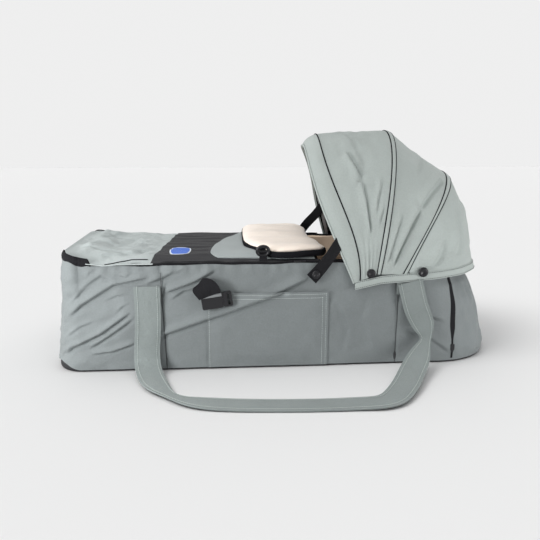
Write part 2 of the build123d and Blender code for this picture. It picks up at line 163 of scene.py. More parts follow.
def moulded(name, colour, roughness):
    """Moulded plastic with a fine satin grain."""
    made, tree, shader = new_material(name, colour, roughness, specular=0.4)
    where = tree.nodes.new("ShaderNodeTexCoord").outputs["Object"]
    grain = noise(tree, where, Scale=900.0, Detail=2.0)
    tint(tree, shader, colour, 0.08, grain)
    bump(tree, shader, grain, 0.15, 0.0003)
    return made


def fleecy(name, colour, relief):
    """Short-pile fleece: small curls and a soft sheen."""
    made, tree, shader = new_material(name, colour, 0.95, 0.5)
    where = tree.nodes.new("ShaderNodeTexCoord").outputs["Object"]
    curls = noise(tree, where, Scale=330.0, Detail=4.0, Distortion=1.2)
    broad = noise(tree, where, Scale=25.0, Detail=2.0)
    fine = math_node(tree, "MULTIPLY", curls, 0.5)
    soft = math_node(tree, "MULTIPLY", broad, 0.5)
    tint(tree, shader, colour, 0.10, math_node(tree, "ADD", fine, soft))
    bump(tree, shader, curls, relief, 0.0012)
    return made


GREY = (0.204, 0.226, 0.229)
LIGHT_GREY = (0.35, 0.388, 0.388)
BLACK = (0.010, 0.010, 0.012)
grey_cloth = woven("grey_cloth", GREY, 1.0, roughness=0.62)
hood_cloth = woven("hood_cloth", (0.400, 0.443, 0.425), 1.0, roughness=0.65)
apron_cloth_surface = woven("apron_cloth", (0.43, 0.475, 0.47), 1.0, roughness=0.65)
inset_cloth = woven("inset_cloth", LIGHT_GREY, 0.8, roughness=0.7)
grey_webbing = woven("grey_webbing", (0.226, 0.255, 0.250), 1.4, relief=0.7)
black_cloth = woven("black_cloth", (0.026, 0.026, 0.029), 0.8, roughness=0.6, sheen=0.0)
dark_cloth = woven("dark_cloth", BLACK, 1.0, roughness=0.9, sheen=0.0, specular=0.08)
ribbed_tape = woven("ribbed_tape", BLACK, 2.6, roughness=0.75, sheen=0.0, relief=1.0, weave=(1, 0.25),
                    specular=0.15)
black_webbing = woven("black_webbing", BLACK, 1.5, roughness=0.7, sheen=0.0, relief=0.8, specular=0.18)
fleece = fleecy("fleece", (0.93, 0.81, 0.71), 0.5)
lining_cloth = fleecy("lining_cloth", (0.93, 0.72, 0.55), 0.35)
mattress_cloth = woven("mattress_cloth", (0.62, 0.60, 0.55), 1.0)
board_surface = moulded("board_surface", (0.25, 0.2, 0.14), 0.8)
black_plastic = moulded("black_plastic", (0.010, 0.010, 0.012), 0.30)
# Lighter plastic that paints the highlight along the buckle sockets' top edges.
highlight_plastic = moulded("highlight_plastic", (0.20, 0.21, 0.215), 0.35)
steel_strip = moulded("steel_strip", (0.45, 0.45, 0.46), 0.35)
grey_thread = woven("grey_thread", (0.50, 0.55, 0.53), 0.5)
# Near-black thread for the hem stitches; on the side seams the same colour is painted shade, standing for the
# shadow in grooves too narrow for the wall's grid.
dark_thread_and_seam_shade = woven("dark_thread_and_seam_shade", (0.06, 0.065, 0.066), 0.5)
blue_weave = woven("blue_weave", (0.05, 0.16, 0.66), 0.6, roughness=0.6)
white_weave = woven("white_weave", (0.75, 0.80, 0.88), 0.6, roughness=0.6)


# ---------------------------------------------------------------- meshes from formulas
def build_mesh(name, points, faces, materials, face_slots=None, uvs=None, around=0.0):
    """A smooth mesh object from points in millimetres; sharp where faces meet at more than 50 degrees."""
    mesh = bpy.data.meshes.new(name)
    mesh.from_pydata((np.asarray(points, float) * MM).tolist(), [], np.asarray(faces).tolist())
    for material in materials:
        mesh.materials.append(material)
    mesh.polygons.foreach_set("use_smooth", [True] * len(mesh.polygons))
    if face_slots is not None:
        mesh.polygons.foreach_set("material_index", np.asarray(face_slots, np.int32))
    if uvs is not None:
        corner_uvs = np.asarray(uvs)[np.asarray(faces)]
        u = corner_uvs[..., 0]
        wraps = (u.max(1) - u.min(1) > around / 2) & (around > 0)
        u[wraps[:, None] & (u < around / 2)] += around
        layer = mesh.uv_layers.new(name="UVMap")
        layer.data.foreach_set("uv", (corner_uvs * MM).astype(np.float32).ravel())
    mesh.update()
    mesh.set_sharp_from_angle(angle=math.radians(50))
    made = bpy.data.objects.new(name, mesh)
    bpy.context.scene.collection.objects.link(made)
    return made


def normals(grid, closed=False):
    """Unit normals of a grid of points."""
    along = np.roll(grid, -1, 0) - np.roll(grid, 1, 0) if closed else np.gradient(grid, axis=0)
    across = np.gradient(grid, axis=1)
    out = np.cross(along, across)
    return out / np.maximum(np.linalg.norm(out, axis=2, keepdims=True), 1e-9)


def cloth(name, grid, thick, outside, inside=None, closed=False, flip=False):
    """A piece of fabric: the grid is its outer face, and the inner face lies thick behind it."""
    turn = -1 if flip else 1
    back = grid - normals(grid, closed) * turn * thick
    rows, columns = grid.shape[:2]
    count = rows * columns
    ids = np.arange(count).reshape(rows, columns)
    loop = np.vstack([ids, ids[:1]]) if closed else ids
    front = np.stack([loop[:-1, :-1], loop[1:, :-1], loop[1:, 1:], loop[:-1, 1:]], -1).reshape(-1, 4)
    rims = []
    for edge, way in ((loop[:, 0], 1), (loop[:, -1], -1)):
        rims.append(np.stack([edge[1:], edge[:-1], edge[:-1] + count, edge[1:] + count], -1)[:, ::way])
    if not closed:
        for edge, way in ((ids[0], -1), (ids[-1], 1)):
            rims.append(np.stack([edge[1:], edge[:-1], edge[:-1] + count, edge[1:] + count], -1)[:, ::way])
    faces = np.concatenate([front, front[:, ::-1] + count, *rims])
    if flip:
        faces = faces[:, ::-1]
    slots = np.zeros(len(faces), np.int32)
    slots[len(front):2 * len(front)] = 1 if inside else 0
    run_u = np.linalg.norm(np.diff(grid, axis=0), axis=2).mean(1)
    run_v = np.linalg.norm(np.diff(grid, axis=1), axis=2).mean(0)
    u = np.concatenate([[0], np.cumsum(run_u)])[:, None] + np.zeros((rows, columns))
    v = np.concatenate([[0], np.cumsum(run_v)])[None, :] + np.zeros((rows, columns))
    uv = np.stack([u, v], -1).reshape(-1, 2)
    materials = [outside, inside] if inside else [outside]
    points = np.concatenate([grid.reshape(-1, 3), back.reshape(-1, 3)])
    around = u[-1, 0] + run_u.mean() if closed else 0.0
    return build_mesh(name, points, faces, materials, slots, np.concatenate([uv, uv]), around)


def smooth_path(points, steps, closed=False):
    """A Catmull-Rom curve through the points, with even steps between each two."""
    knots = np.asarray(points, float)
    if closed:
        knots = np.concatenate([knots[-1:], knots, knots[:2]])
    else:
        knots = np.concatenate([[2 * knots[0] - knots[1]], knots, [2 * knots[-1] - knots[-2]]])
    out = []
    for a, b, c, d in zip(knots[:-3], knots[1:-2], knots[2:-1], knots[3:]):
        t = np.linspace(0, 1, steps, endpoint=False)[:, None]
        square = (2 * a - 5 * b + 4 * c - d) * t ** 2
        cubic = (3 * b - a - 3 * c + d) * t ** 3
        out.append(0.5 * (2 * b + (c - a) * t + square + cubic))
    if not closed:
        out.append(knots[-2:-1])
    return np.concatenate(out)


def resample(path, spacing):
    """The same path with points at an even distance."""
    lengths = np.concatenate([[0], np.cumsum(np.linalg.norm(np.diff(path, axis=0), axis=1))])
    count = max(int(round(lengths[-1] / spacing)), 2)
    at = np.linspace(0, lengths[-1], count + 1)
    return np.stack([np.interp(at, lengths, path[:, k]) for k in range(path.shape[1])], 1)


def tube(name, path, radius, material, closed=False, sides=8, up=(0.13, 0.21, 0.97)):
    """A round tube along a path; radius is a number or one value for each point."""
    path = np.asarray(path, float)
    along = np.roll(path, -1, 0) - np.roll(path, 1, 0) if closed else np.gradient(path, axis=0)
    along /= np.maximum(np.linalg.norm(along, axis=1, keepdims=True), 1e-9)
    side = np.cross(along, np.asarray(up, float))
    side /= np.maximum(np.linalg.norm(side, axis=1, keepdims=True), 1e-9)
    top = np.cross(side, along)
    turn = np.linspace(0, 2 * math.pi, sides, endpoint=False)
    size = np.broadcast_to(np.asarray(radius, float), (len(path),))[:, None, None]
    ring = np.cos(turn)[None, :, None] * side[:, None] + np.sin(turn)[None, :, None] * top[:, None]
    points = path[:, None] + ring * size
    rows = len(path)
    ids = np.arange(rows * sides).reshape(rows, sides)
    loop = np.vstack([ids, ids[:1]]) if closed else ids
    nxt = np.roll(loop, -1, 1)
    faces = np.stack([loop[:-1], loop[1:], nxt[1:], nxt[:-1]], -1).reshape(-1, 4).tolist()
    if not closed:
        faces += [ids[0].tolist()[::-1], ids[-1].tolist()]
    mesh = bpy.data.meshes.new(name)
    mesh.from_pydata((points.reshape(-1, 3) * MM).tolist(), [], faces)
    mesh.materials.append(material)
    mesh.polygons.foreach_set("use_smooth", [True] * len(mesh.polygons))
    mesh.update()
    mesh.set_sharp_from_angle(angle=math.radians(60))
    made = bpy.data.objects.new(name, mesh)
    bpy.context.scene.collection.objects.link(made)
    return made


def joined(name, pieces):
    """One mesh object made of several."""
    bpy.ops.object.select_all(action="DESELECT")
    for piece in pieces:
        piece.select_set(True)
    bpy.context.view_layer.objects.active = pieces[0]
    bpy.ops.object.join()
    pieces[0].name = name
    pieces[0].data.name = name
    return pieces[0]


STITCH, STITCH_GAP, THREAD = 2.4, 3.4, 0.42


def stitches(name, lines, material):
    """Topstitching: short raised threads along each line of points."""
    points, faces = [], []
    for line in lines:
        path = resample(np.asarray(line, float), STITCH_GAP)
        along = np.gradient(path, axis=0)
        along /= np.maximum(np.linalg.norm(along, axis=1, keepdims=True), 1e-9)
        side = np.cross(along, (0.31, 0.22, 0.92))
        side /= np.maximum(np.linalg.norm(side, axis=1, keepdims=True), 1e-9)
        top = np.cross(side, along)
        for where, a, s, t in zip(path, along, side, top):
            start = len(points)
            for end in (-0.5, -0.3, 0.3, 0.5):
                size = THREAD if abs(end) < 0.4 else THREAD * 0.35
                for c, d in ((1, 0), (0, 1), (-1, 0), (0, -1)):
                    points.append(where + a * end * STITCH + (s * c + t * d) * size)
            for ring in range(3):
                for k in range(4):
                    a0, a1 = start + 4 * ring + k, start + 4 * ring + (k + 1) % 4
                    faces.append((a0, a1, a1 + 4, a0 + 4))
            faces.append((start + 3, start + 2, start + 1, start))
            faces.append((start + 12, start + 13, start + 14, start + 15))
    return build_mesh(name, points, faces, [material])


def smoothstep(value, low, high):
    t = np.clip((value - low) / (high - low), 0, 1)
    return t * t * (3 - 2 * t)


def ripples(points, wavelength, seed, waves=7):
    """Smooth random undulation about zero, the same on every run."""
    draw = np.random.default_rng(seed)
    total = np.zeros(points.shape[:-1])
    for _ in range(waves):
        direction = draw.normal(size=3)
        direction /= np.linalg.norm(direction)
        stretch = draw.uniform(0.75, 1.35)
        total += np.sin(points @ direction * (2 * math.pi / (wavelength * stretch)) + draw.uniform(0, 6.28))
    return total / math.sqrt(waves)


def crease(px, pz, line, depth, width, taper=22.0):
    """Relief of one fold along a line: a soft ridge on its left and a sharp valley on its right."""
    near = np.full(px.shape, 1e9)
    side = np.zeros(px.shape)
    run = np.zeros(px.shape)
    before = 0.0
    for (ax, az), (bx, bz) in zip(line[:-1], line[1:]):
        dx, dz = bx - ax, bz - az
        length = math.hypot(dx, dz)
        t = np.clip(((px - ax) * dx + (pz - az) * dz) / length ** 2, 0, 1)
        qx, qz = px - (ax + t * dx), pz - (az + t * dz)
        away = np.hypot(qx, qz)
        closer = away < near
        near = np.where(closer, away, near)
        side = np.where(closer, np.sign(dx * qz - dz * qx) * away, side)
        run = np.where(closer, before + t * length, run)
        before += length
    fade = smoothstep(run, 0, taper) * smoothstep(before - run, 0, taper)
    broad = np.where(side > 0, 2.6, 0.55) * width
    ridge = np.exp(-(side / broad) ** 2)
    valley = np.exp(-((side + 1.3 * width) / (0.9 * width)) ** 2)
    return depth * fade * (0.9 * ridge - 0.6 * valley) * (near < 8 * width)


def register(piece, body, replaced=()):
    """Ties a piece to its body and the CAD nodes that it stands for."""
    if body:
        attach(piece, body)
    for node in replaced:
        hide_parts(node)
    return piece


def mirrored(grid):
    """The same grid on the far side."""
    return grid * np.array([1.0, -1.0, 1.0])


# ---------------------------------------------------------------- outline of the cot from above
def outline(spacing):
    """The cot's outer outline, counter-clockwise from the near foot corner, with its outward normals."""
    foot_x, head_x = FOOT_X + FOOT_RADIUS, HEAD_X - HEAD_RADIUS
    foot_y, head_y = HALF_WIDTH - FOOT_RADIUS, HALF_WIDTH - HEAD_RADIUS
    parts = [
        ("line", (foot_x, -HALF_WIDTH), (head_x, -HALF_WIDTH), -90),
        ("arc", (head_x, -head_y), HEAD_RADIUS, -90),
        ("line", (HEAD_X, -head_y), (HEAD_X, head_y), 0),
        ("arc", (head_x, head_y), HEAD_RADIUS, 0),
        ("line", (head_x, HALF_WIDTH), (foot_x, HALF_WIDTH), 90),
        ("arc", (foot_x, foot_y), FOOT_RADIUS, 90),
        ("line", (FOOT_X, foot_y), (FOOT_X, -foot_y), 180),
        ("arc", (foot_x, -foot_y), FOOT_RADIUS, 180),
    ]
    points, out = [], []
    for kind, a, b, angle in parts:
        if kind == "line":
            length = math.dist(a, b)
            t = np.arange(0, 1, spacing / length)[:, None]
            points.append(np.asarray(a) + (np.asarray(b) - np.asarray(a)) * t)
            turn = np.full(len(t), math.radians(angle))
        else:
            t = np.arange(0, 1, spacing / (b * math.pi / 2))
            turn = math.radians(angle) + t * math.pi / 2
            points.append(np.asarray(a) + b * np.stack([np.cos(turn), np.sin(turn)], 1))
        out.append(np.stack([np.cos(turn), np.sin(turn)], 1))
    return np.concatenate(points), np.concatenate(out)


def skin_top(x):
    """Height of the outer fabric's top edge."""
    return RIM_TOP + 13 * smoothstep(-x, 340, 398) + 0.8 * np.sin(x / 31.0) + 0.5 * np.sin(x / 12.0)


def skin_foot(x):
    """Height of the outer fabric's bottom edge, which lifts off the base at the foot and head corners."""
    return 3.5 + 14 * smoothstep(-x, 362, 402) + 7 * smoothstep(x, 388, 402)


def end_lean(z, nx):
    """How far the foot and head walls lean from the upright, outwards along their normal."""
    foot = -np.interp(z, [0, 16, 41, 81, 120, 173, 200], [4, 4, 9, 12, 20, 20, 24])
    head = np.interp(z, [0, 25, 60, 110, 150, 200], [3, 5, -8, -22, -34, -38])
    crushed = -14 * smoothstep(z, 105, 148) * np.exp(-((nx - 0.45) / 0.38) ** 2)
    return np.where(nx < 0, foot * nx ** 2, head * np.abs(nx)) + crushed


# Folds in the near side, each as (points along it, depth, half width). The first eight, and SIDE_SEAMS below,
# hold measured positions; they are not worked out from the frame.
NEAR_FOLDS = [
    ([(-380, 100), (-355, 124), (-298, 159), (-232, 172)], 4.2, 5.5),
    ([(-395, 28), (-376, 46), (-324, 72), (-268, 112)], 4.0, 4.5),
    ([(-350, 42), (-309, 68), (-264, 100)], 3.4, 4.5),
    ([(-345, 34), (-304, 39), (-255, 56)], 3.0, 4.0),
    ([(-362, 146), (-318, 176), (-285, 158)], 2.4, 5.0),
    ([(-232, 62), (-136, 95), (-93, 110), (-17, 137), (45, 166)], 4.6, 6.5),
    ([(-246, 158), (-213, 170), (-186, 184)], 3.6, 5.0),
    ([(-214, 142), (-157, 162), (-118, 184)], 4.4, 5.0),
    ([(-205, 128), (-178, 146), (-150, 150)], 2.6, 4.5),
    ([(-398, 150), (-384, 120), (-392, 80)], 2.2, 5.0),
    ([(-388, 62), (-360, 84), (-330, 96)], 2.0, 3.5),
    ([(-376, 122), (-352, 148), (-330, 158)], 2.0, 3.0),
    ([(-318, 128), (-292, 140), (-270, 140)], 1.8, 3.5),
    ([(-300, 104), (-284, 120), (-266, 128)], 1.6, 3.0),
    ([(-345, 168), (-338, 180), (-322, 187)], 2.0, 3.0),
    ([(-300, 178), (-276, 172), (-262, 182)], 1.8, 3.0),
    ([(-238, 120), (-216, 142), (-206, 168)], 2.2, 4.0),
    ([(-200, 172), (-184, 180), (-172, 188)], 2.2, 3.0),
    ([(-402, 22), (-388, 40), (-380, 34)], 2.2, 3.5),
    ([(98, 120), (120, 70), (112, 20)], 1.8, 9.0),
    ([(160, 140), (148, 90), (165, 30)], 1.6, 10.0),
    ([(228, 122), (262, 92), (300, 80)], 2.6, 6.5),
    ([(222, 70), (268, 50), (312, 18)], 2.6, 6.0),
]
FAR_FOLDS = [
    ([(-370, 60), (-300, 100), (-220, 120)], 3.6, 5.5),
    ([(-350, 150), (-280, 120), (-230, 90)], 3.0, 5.5),
    ([(-160, 60), (-80, 100), (20, 120)], 3.2, 6.5),
    ([(-60, 160), (10, 130), (80, 90)], 2.6, 6.0),
    ([(110, 60), (150, 110), (190, 140)], 2.8, 6.5),
    ([(230, 40), (270, 90), (310, 120)], 2.8, 6.0),
]
SIDE_SEAMS = [((-217, 186), (-210, 2)), ((206, 186), (204, 2))]


def wall_relief(points, ny):
    """How far the padded wall stands out from the plan outline at these points."""
    x, z = points[..., 0], points[..., 2]
    relief = 3.0 * np.sin(math.pi * np.clip(z / 190, 0, 1)) ** 0.8
    relief += 1.1 * ripples(points, 130, 3) + 0.35 * ripples(points, 34, 4, 9)
    crumple = smoothstep(-x, 215, 380)
    relief += crumple * (1.2 * ripples(points, 46, 5, 9) + 0.55 * ripples(points, 17, 6, 9))
    relief -= 8.0 * smoothstep(z, 140, 158) * smoothstep(x, 255, 295)   # drawn in under the hood's hem
    relief += 0.7 * np.sin(x / 3.7 + 1.3 * np.sin(x / 23)) * smoothstep(z, 166, 188) * (x < 130)
    gathered = smoothstep(x, 306, 345) * smoothstep(z, 0, 30) * (1 - 0.75 * smoothstep(z, 118, 150))
    relief += gathered * 2.6 * ripples(points * np.array([1, 1, 0.22]), 40, 7, 9)
    relief += gathered * 0.8 * ripples(points * np.array([1, 1, 0.35]), 17, 8, 9)
    for direction, folds in ((NEAR, NEAR_FOLDS), (FAR, FAR_FOLDS)):
        facing = smoothstep(direction * ny, 0.55, 0.95)
        if facing.max() > 0:
            for line, depth, width in folds:
                relief += facing * crease(x, z, line, 1.15 * depth, 0.62 * width)
            for (ax, az), (bx, bz) in SIDE_SEAMS:
                off = x - (ax + (bx - ax) * (z - az) / (bz - az))
                dip = 1.6 * np.exp(-(off / 3.0) ** 2) + 1.2 * np.exp(-(off / 14.0) ** 2)
                relief -= smoothstep(z, 2, 22) * facing * dip
    return relief


def on_wall(x, z, proud, side=NEAR):
    """Points on the straight side wall, standing proud of it."""
    x, z = np.broadcast_arrays(np.asarray(x, float), np.asarray(z, float))
    base = np.stack([x, np.full(x.shape, side * HALF_WIDTH), z], -1)
    base[..., 1] += side * (wall_relief(base, np.full(x.shape, float(side))) + proud)
    return base


loop, loop_out = outline(2.0)
loop_x = loop[:, 0]


def ring_grid(columns, lean=True, relief=False):
    """A grid round the outline from (inset, height) columns, each a number or one for each loop point."""
    out = []
    for inset, height in columns:
        z = np.broadcast_to(np.asarray(height, float), loop_x.shape)
        push = -np.broadcast_to(np.asarray(inset, float), loop_x.shape)
        if lean:
            push = push + end_lean(z, loop_out[:, 0])
        if relief:
            push = push + wall_relief(np.concatenate([loop, z[:, None]], 1), loop_out[:, 1])
        out.append(np.concatenate([loop + loop_out * push[:, None], z[:, None]], 1))
    return np.stack(out, 1)


def to_spine(share, height, reach=230.0):
    """A column pulled towards the cot's middle line: share 1 is the outline, 0 the line."""
    centre = np.stack([np.clip(loop_x, -reach, reach), np.zeros(len(loop))], 1)
    flat = centre + (loop - centre) * share
    z = np.broadcast_to(np.asarray(height, float), loop_x.shape)
    return np.concatenate([flat, z[:, None]], 1)


# ---------------------------------------------------------------- outer skin, base and rim
ROWS = 92
top_edge, foot_edge = skin_top(loop_x), skin_foot(loop_x)
skin_columns = [(0, foot_edge + (top_edge - foot_edge) * v) for v in np.linspace(0, 1, ROWS)]
skin = cloth("outer_skin", ring_grid(skin_columns, relief=True), 1.6, grey_cloth, dark_cloth, closed=True)
register(skin, "cot", [
    "side_panel_near", "side_panel_far", "foot_panel", "head_panel",
    "wall_foam_near", "wall_foam_far", "wall_foam_head", "wall_foam_foot"])

tray_columns = [(9, 0.4), (5, 0.2), (2.2, 0.8), (0.6, 3.0), (0.4, 9), (0.8, 18), (1.6, 28)]
tray_grid = np.concatenate([
    np.stack([to_spine(s, 0.4) for s in (0.02, 0.3, 0.6, 0.9)], 1),
    ring_grid(tray_columns)], 1)
tray = cloth("base_tray", tray_grid, 0.8, black_cloth, closed=True)
register(tray, "cot", ["base_cover", "base_piping"])

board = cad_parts["base_board"]
board.data.materials.clear()
board.data.materials.append(board_surface)

rim_lift = 1 - smoothstep(-loop_x, 280, 300)   # the tape sinks where the apron is sewn over it
rim_columns = [(2.4, top_edge - 6), (2.2, top_edge - 1.5), (3.0, top_edge - 0.8 + 2 * rim_lift),
               (6, top_edge - 0.8 + 3 * rim_lift), (9.5, top_edge - 0.8 + 2.8 * rim_lift),
               (12.5, top_edge - 1.2 + 1.8 * rim_lift), (14.2, top_edge - 4), (14.6, top_edge - 9)]
rim = cloth("rim_tape", ring_grid(rim_columns), 0.8, ribbed_tape, closed=True)
register(rim, "cot", ["rim_binding"])

# The ribbed strip round the top of the foot end.
at_foot = np.where((loop_x < -334))[0]
order = np.concatenate([at_foot[at_foot > len(loop) // 2], at_foot[at_foot < len(loop) // 2]])
strip_rise = 12.5 * smoothstep(-loop_x, 334, 341) * (1 - 0.75 * smoothstep(-loop_out[:, 0], 0.85, 0.99))
strip_rise *= 1 - 0.5 * (loop[:, 1] > 0)
strip_columns = [(0.6, top_edge - 3), (-0.6, top_edge + 0.2), (-0.8, top_edge + strip_rise * 0.35),
                 (0.6, top_edge + strip_rise * 0.7), (3.4, top_edge + strip_rise)]
strip_grid = ring_grid(strip_columns)[order]
strip = cloth("foot_strip_tape", strip_grid, 1.0, ribbed_tape)
register(strip, "cot", ["foot_strip"])

# ---------------------------------------------------------------- lining and mattress
lining_columns = [(14.5, top_edge - 2)]
for z in np.linspace(186, 24, 18):
    lining_columns.append((15.5 + 15 * math.exp(-((z - 150) / 40) ** 2), z))
lining_columns += [(17, 9.4), (40, 9.2)]
lining_grid = ring_grid(lining_columns)
puff = 1.2 * ripples(lining_grid, 60, 21) + 0.5 * ripples(lining_grid, 22, 22)
lining_grid[..., :2] -= loop_out[:, None] * (puff + 1.0)[..., None]
inner_lining = cloth("inner_lining", lining_grid, 1.0, lining_cloth, closed=True, flip=True)
register(inner_lining, "cot", ["lining"])

mattress_columns = [to_spine(0.04, 10.2), to_spine(0.5, 10.2)]
mattress_ring = ring_grid(
    [(26, 10.2), (20, 12), (18.5, 18), (18.5, 30), (20, 35), (25, 38.6), (34, 39.8)], lean=False)
mattress_grid = np.concatenate([
    np.stack(mattress_columns, 1), mattress_ring,
    np.stack([to_spine(s, 40.2) for s in (0.7, 0.55, 0.4, 0.25, 0.12, 0.03)], 1)], 1)
mattress_grid[..., 2] += 0.5 * ripples(mattress_grid, 90, 31) * (mattress_grid[..., 2] > 30)
mattress = cloth("mattress_pad", mattress_grid, 0.6, mattress_cloth, closed=True)
register(mattress, "cot", ["mattress"])

# ---------------------------------------------------------------- seams, pocket and zips on the sides
# The side seams: the near-black tubes in the shallow seam grooves are painted shade, standing for the shadow of
# the narrow seam.
seam_shade_lines = []
for side in (NEAR, FAR):
    for (ax, az), (bx, bz) in SIDE_SEAMS:
        zs = np.linspace(bz, min(az, 178), 60)
        xs = ax + (bx - ax) * (zs - az) / (bz - az)
        seam_shade_lines.append(tube("seam", on_wall(xs, zs, 0.2, side), 0.75, dark_thread_and_seam_shade, sides=6))
register(joined("side_seam_shade", seam_shade_lines), "cot")

POCKET_X, POCKET_Z = (-137.0, 78.0), (3.5, 140.0)
xs, zs = np.linspace(*POCKET_X, 96), np.linspace(*POCKET_Z, 56)
gx, gz = np.meshgrid(xs, zs, indexing="ij")
inward = np.minimum.reduce([gx - POCKET_X[0], POCKET_X[1] - gx, gz - POCKET_Z[0]])
proud = 2.0 + 2.0 * smoothstep(inward, 2, 26) + 0.8 * smoothstep(gz, 105, 140)
proud += 0.5 * np.exp(-((gz - POCKET_Z[1]) / 2.2) ** 2)
pocket = cloth("side_pocket", on_wall(gx, gz, proud), 1.1, grey_cloth)
register(pocket, "cot", ["pocket"])


def pocket_line(points, lift):
    path = resample(np.asarray(points, float), 2.0)
    edge = np.minimum.reduce([path[:, 0] - POCKET_X[0], POCKET_X[1] - path[:, 0], path[:, 1] - POCKET_Z[0]])
    height = 2.0 + 2.0 * smoothstep(edge, 2, 26) + 0.8 * smoothstep(path[:, 1], 105, 140)
    return on_wall(path[:, 0], path[:, 1], height + lift)


pocket_rows = []
for inset in (4.0, 10.5):
    pocket_rows.append(pocket_line([(-135, 140 - inset), (78 - inset, 140 - inset)], 0.15))
    pocket_rows.append(pocket_line([(78 - inset, 140 - inset), (78 - inset, 5)], 0.15))
pocket_rows.append(pocket_line([(-134, 5), (-134, 138)], 0.15))
register(stitches("pocket_stitches", pocket_rows, grey_thread), "cot")

ZIP_FROM, ZIP_TO = -296.0, 112.0
ZIP_OUTER_Y, ZIP_WIDTH = 176.5, 9.5
for side_name, side in SIDES.items():
    xs = np.linspace(ZIP_FROM, ZIP_TO, 170)
    lift = smoothstep(xs, ZIP_FROM, ZIP_FROM + 40)
    wave = 0.6 * np.sin(xs / 17.0) + 0.4 * np.sin(xs / 7.0)
    rows = []
    for share in np.linspace(0, 1, 6):
        y = ZIP_OUTER_Y - ZIP_WIDTH * share
        z = skin_top(xs) + 0.9 + (3.6 * share + 0.7 * wave) * lift
        rows.append(np.stack([xs, np.full(xs.shape, side * y), z], 1))
    tape = cloth(f"side_zip_{side_name}", np.stack(rows, 1), 0.9, ribbed_tape, flip=side > 0)
    register(tape, "cot", ["side_zip_tapes"])
    middle = (rows[2] + rows[3]) / 2 + np.array([0, side * 0.5, 0.3])
    coil = tube(f"side_zip_coil_{side_name}", resample(middle, 1.2), 0.9, black_plastic, sides=6)
    register(coil, "cot")

HEAD_ZIP_X, HEAD_ZIP_Z = 311.0, (8, 158)
corner_turn = math.asin((HEAD_ZIP_X - (HEAD_X - HEAD_RADIUS)) / HEAD_RADIUS)
for side_name, side in SIDES.items():
    zs = np.linspace(*HEAD_ZIP_Z, 60)
    rows = []
    open_width = 1.6 + 3.4 * smoothstep(zs, 40, 70)
    for share in np.linspace(-1, 1, 6):
        turn = corner_turn + share * open_width / HEAD_RADIUS
        out = np.stack([np.sin(turn), -np.cos(turn)], 1)
        centre = np.array([HEAD_X - HEAD_RADIUS, HEAD_RADIUS - HALF_WIDTH])
        path = np.concatenate([centre + HEAD_RADIUS * out, zs[:, None]], 1)
        push = wall_relief(path, out[:, 1]) + end_lean(zs, out[:, 0]) + 0.9
        path[:, :2] += out * push[:, None]
        rows.append(path)
    grid = np.stack(rows, 1)
    shown = grid if side < 0 else mirrored(grid)
    tape = cloth(f"head_zip_{side_name}", shown, 0.7, ribbed_tape, flip=side < 0)
    register(tape, "cot", ["head_zip_tapes"])

# ---------------------------------------------------------------- hood
ARCH_POWER = 1.9
# Each seam: its foot (x, z), its top (x, z), and how far it bows forwards in its lower and upper half.
# These are the results of a least-squares fit; they are not worked out from the hub and the bow angles.
HOOD_SEAMS = {
    "edge": (124, 151.6, 52.8, 394.2, 13.4, 6.8),
    "front": (133.9, 156.1, 78.6, 415.3, 0, 18.6),
    "mid_front": (163.9, 166.9, 215.9, 422.1, 1.5, -3),
    "mid_back": (170.5, 166.8, 225.1, 419.1, 1.5, 0),
    "rear_front": (210.8, 167.1, 335.8, 342.6, 5.6, -1.6),
    "rear_back": (219.2, 168.1, 346.1, 334.4, 11.6, -1.7),
}
FAR_PUSH = {"edge": 36.0, "front": 14.0}   # the far side of the visor hangs further back than the near side
ARCH_STEPS = 130
arch_turn = np.linspace(0.012, math.pi - 0.012, ARCH_STEPS)
arch_share = arch_turn / math.pi


def seam(name):
    """One of the hood's seams, from its near foot over the top to its far foot."""
    bx, bz, tx, tz, low, high = HOOD_SEAMS[name]
    rho = np.sin(arch_turn) ** (2 / ARCH_POWER)
    across = np.cos(arch_turn)
    y = -HOOD_HALF * np.sign(across) * np.abs(across) ** (2 / ARCH_POWER)
    dx, dz = tx - bx, tz - bz
    length = math.hypot(dx, dz)
    bow = 4 * rho * (1 - rho) * (low + high * (2 * rho - 1))
    pushed = FAR_PUSH.get(name, 0.0) * smoothstep(y, 5, 150) * (0.3 + 0.7 * np.sqrt(rho))
    return np.stack([bx + dx * rho - dz / length * bow + pushed, y, bz + dz * rho + dx / length * bow], 1)


def between(first, last, columns, swell):
    """A fabric panel between two seams; swell(along, across) is how far it stands out from straight lines."""
    across = np.linspace(0, 1, columns)
    grid = first[:, None] * (1 - across)[None, :, None] + last[:, None] * across[None, :, None]
    out = -normals(grid)
    return grid + out * swell(arch_share[:, None], across[None, :], grid)[..., None]


def ridge(along, across, start, end, depth, width):
    """A straight fold across a panel, in the panel's own coordinates."""
    (a0, c0), (a1, c1) = start, end
    shape = np.broadcast_shapes(along.shape, across.shape)
    px, pz = np.broadcast_to(along * 100, shape), np.broadcast_to(across * 30, shape)
    return crease(px, pz, [(a0 * 100, c0 * 30), (a1 * 100, c1 * 30)], 1.5 * depth, 0.62 * width, 2.0)


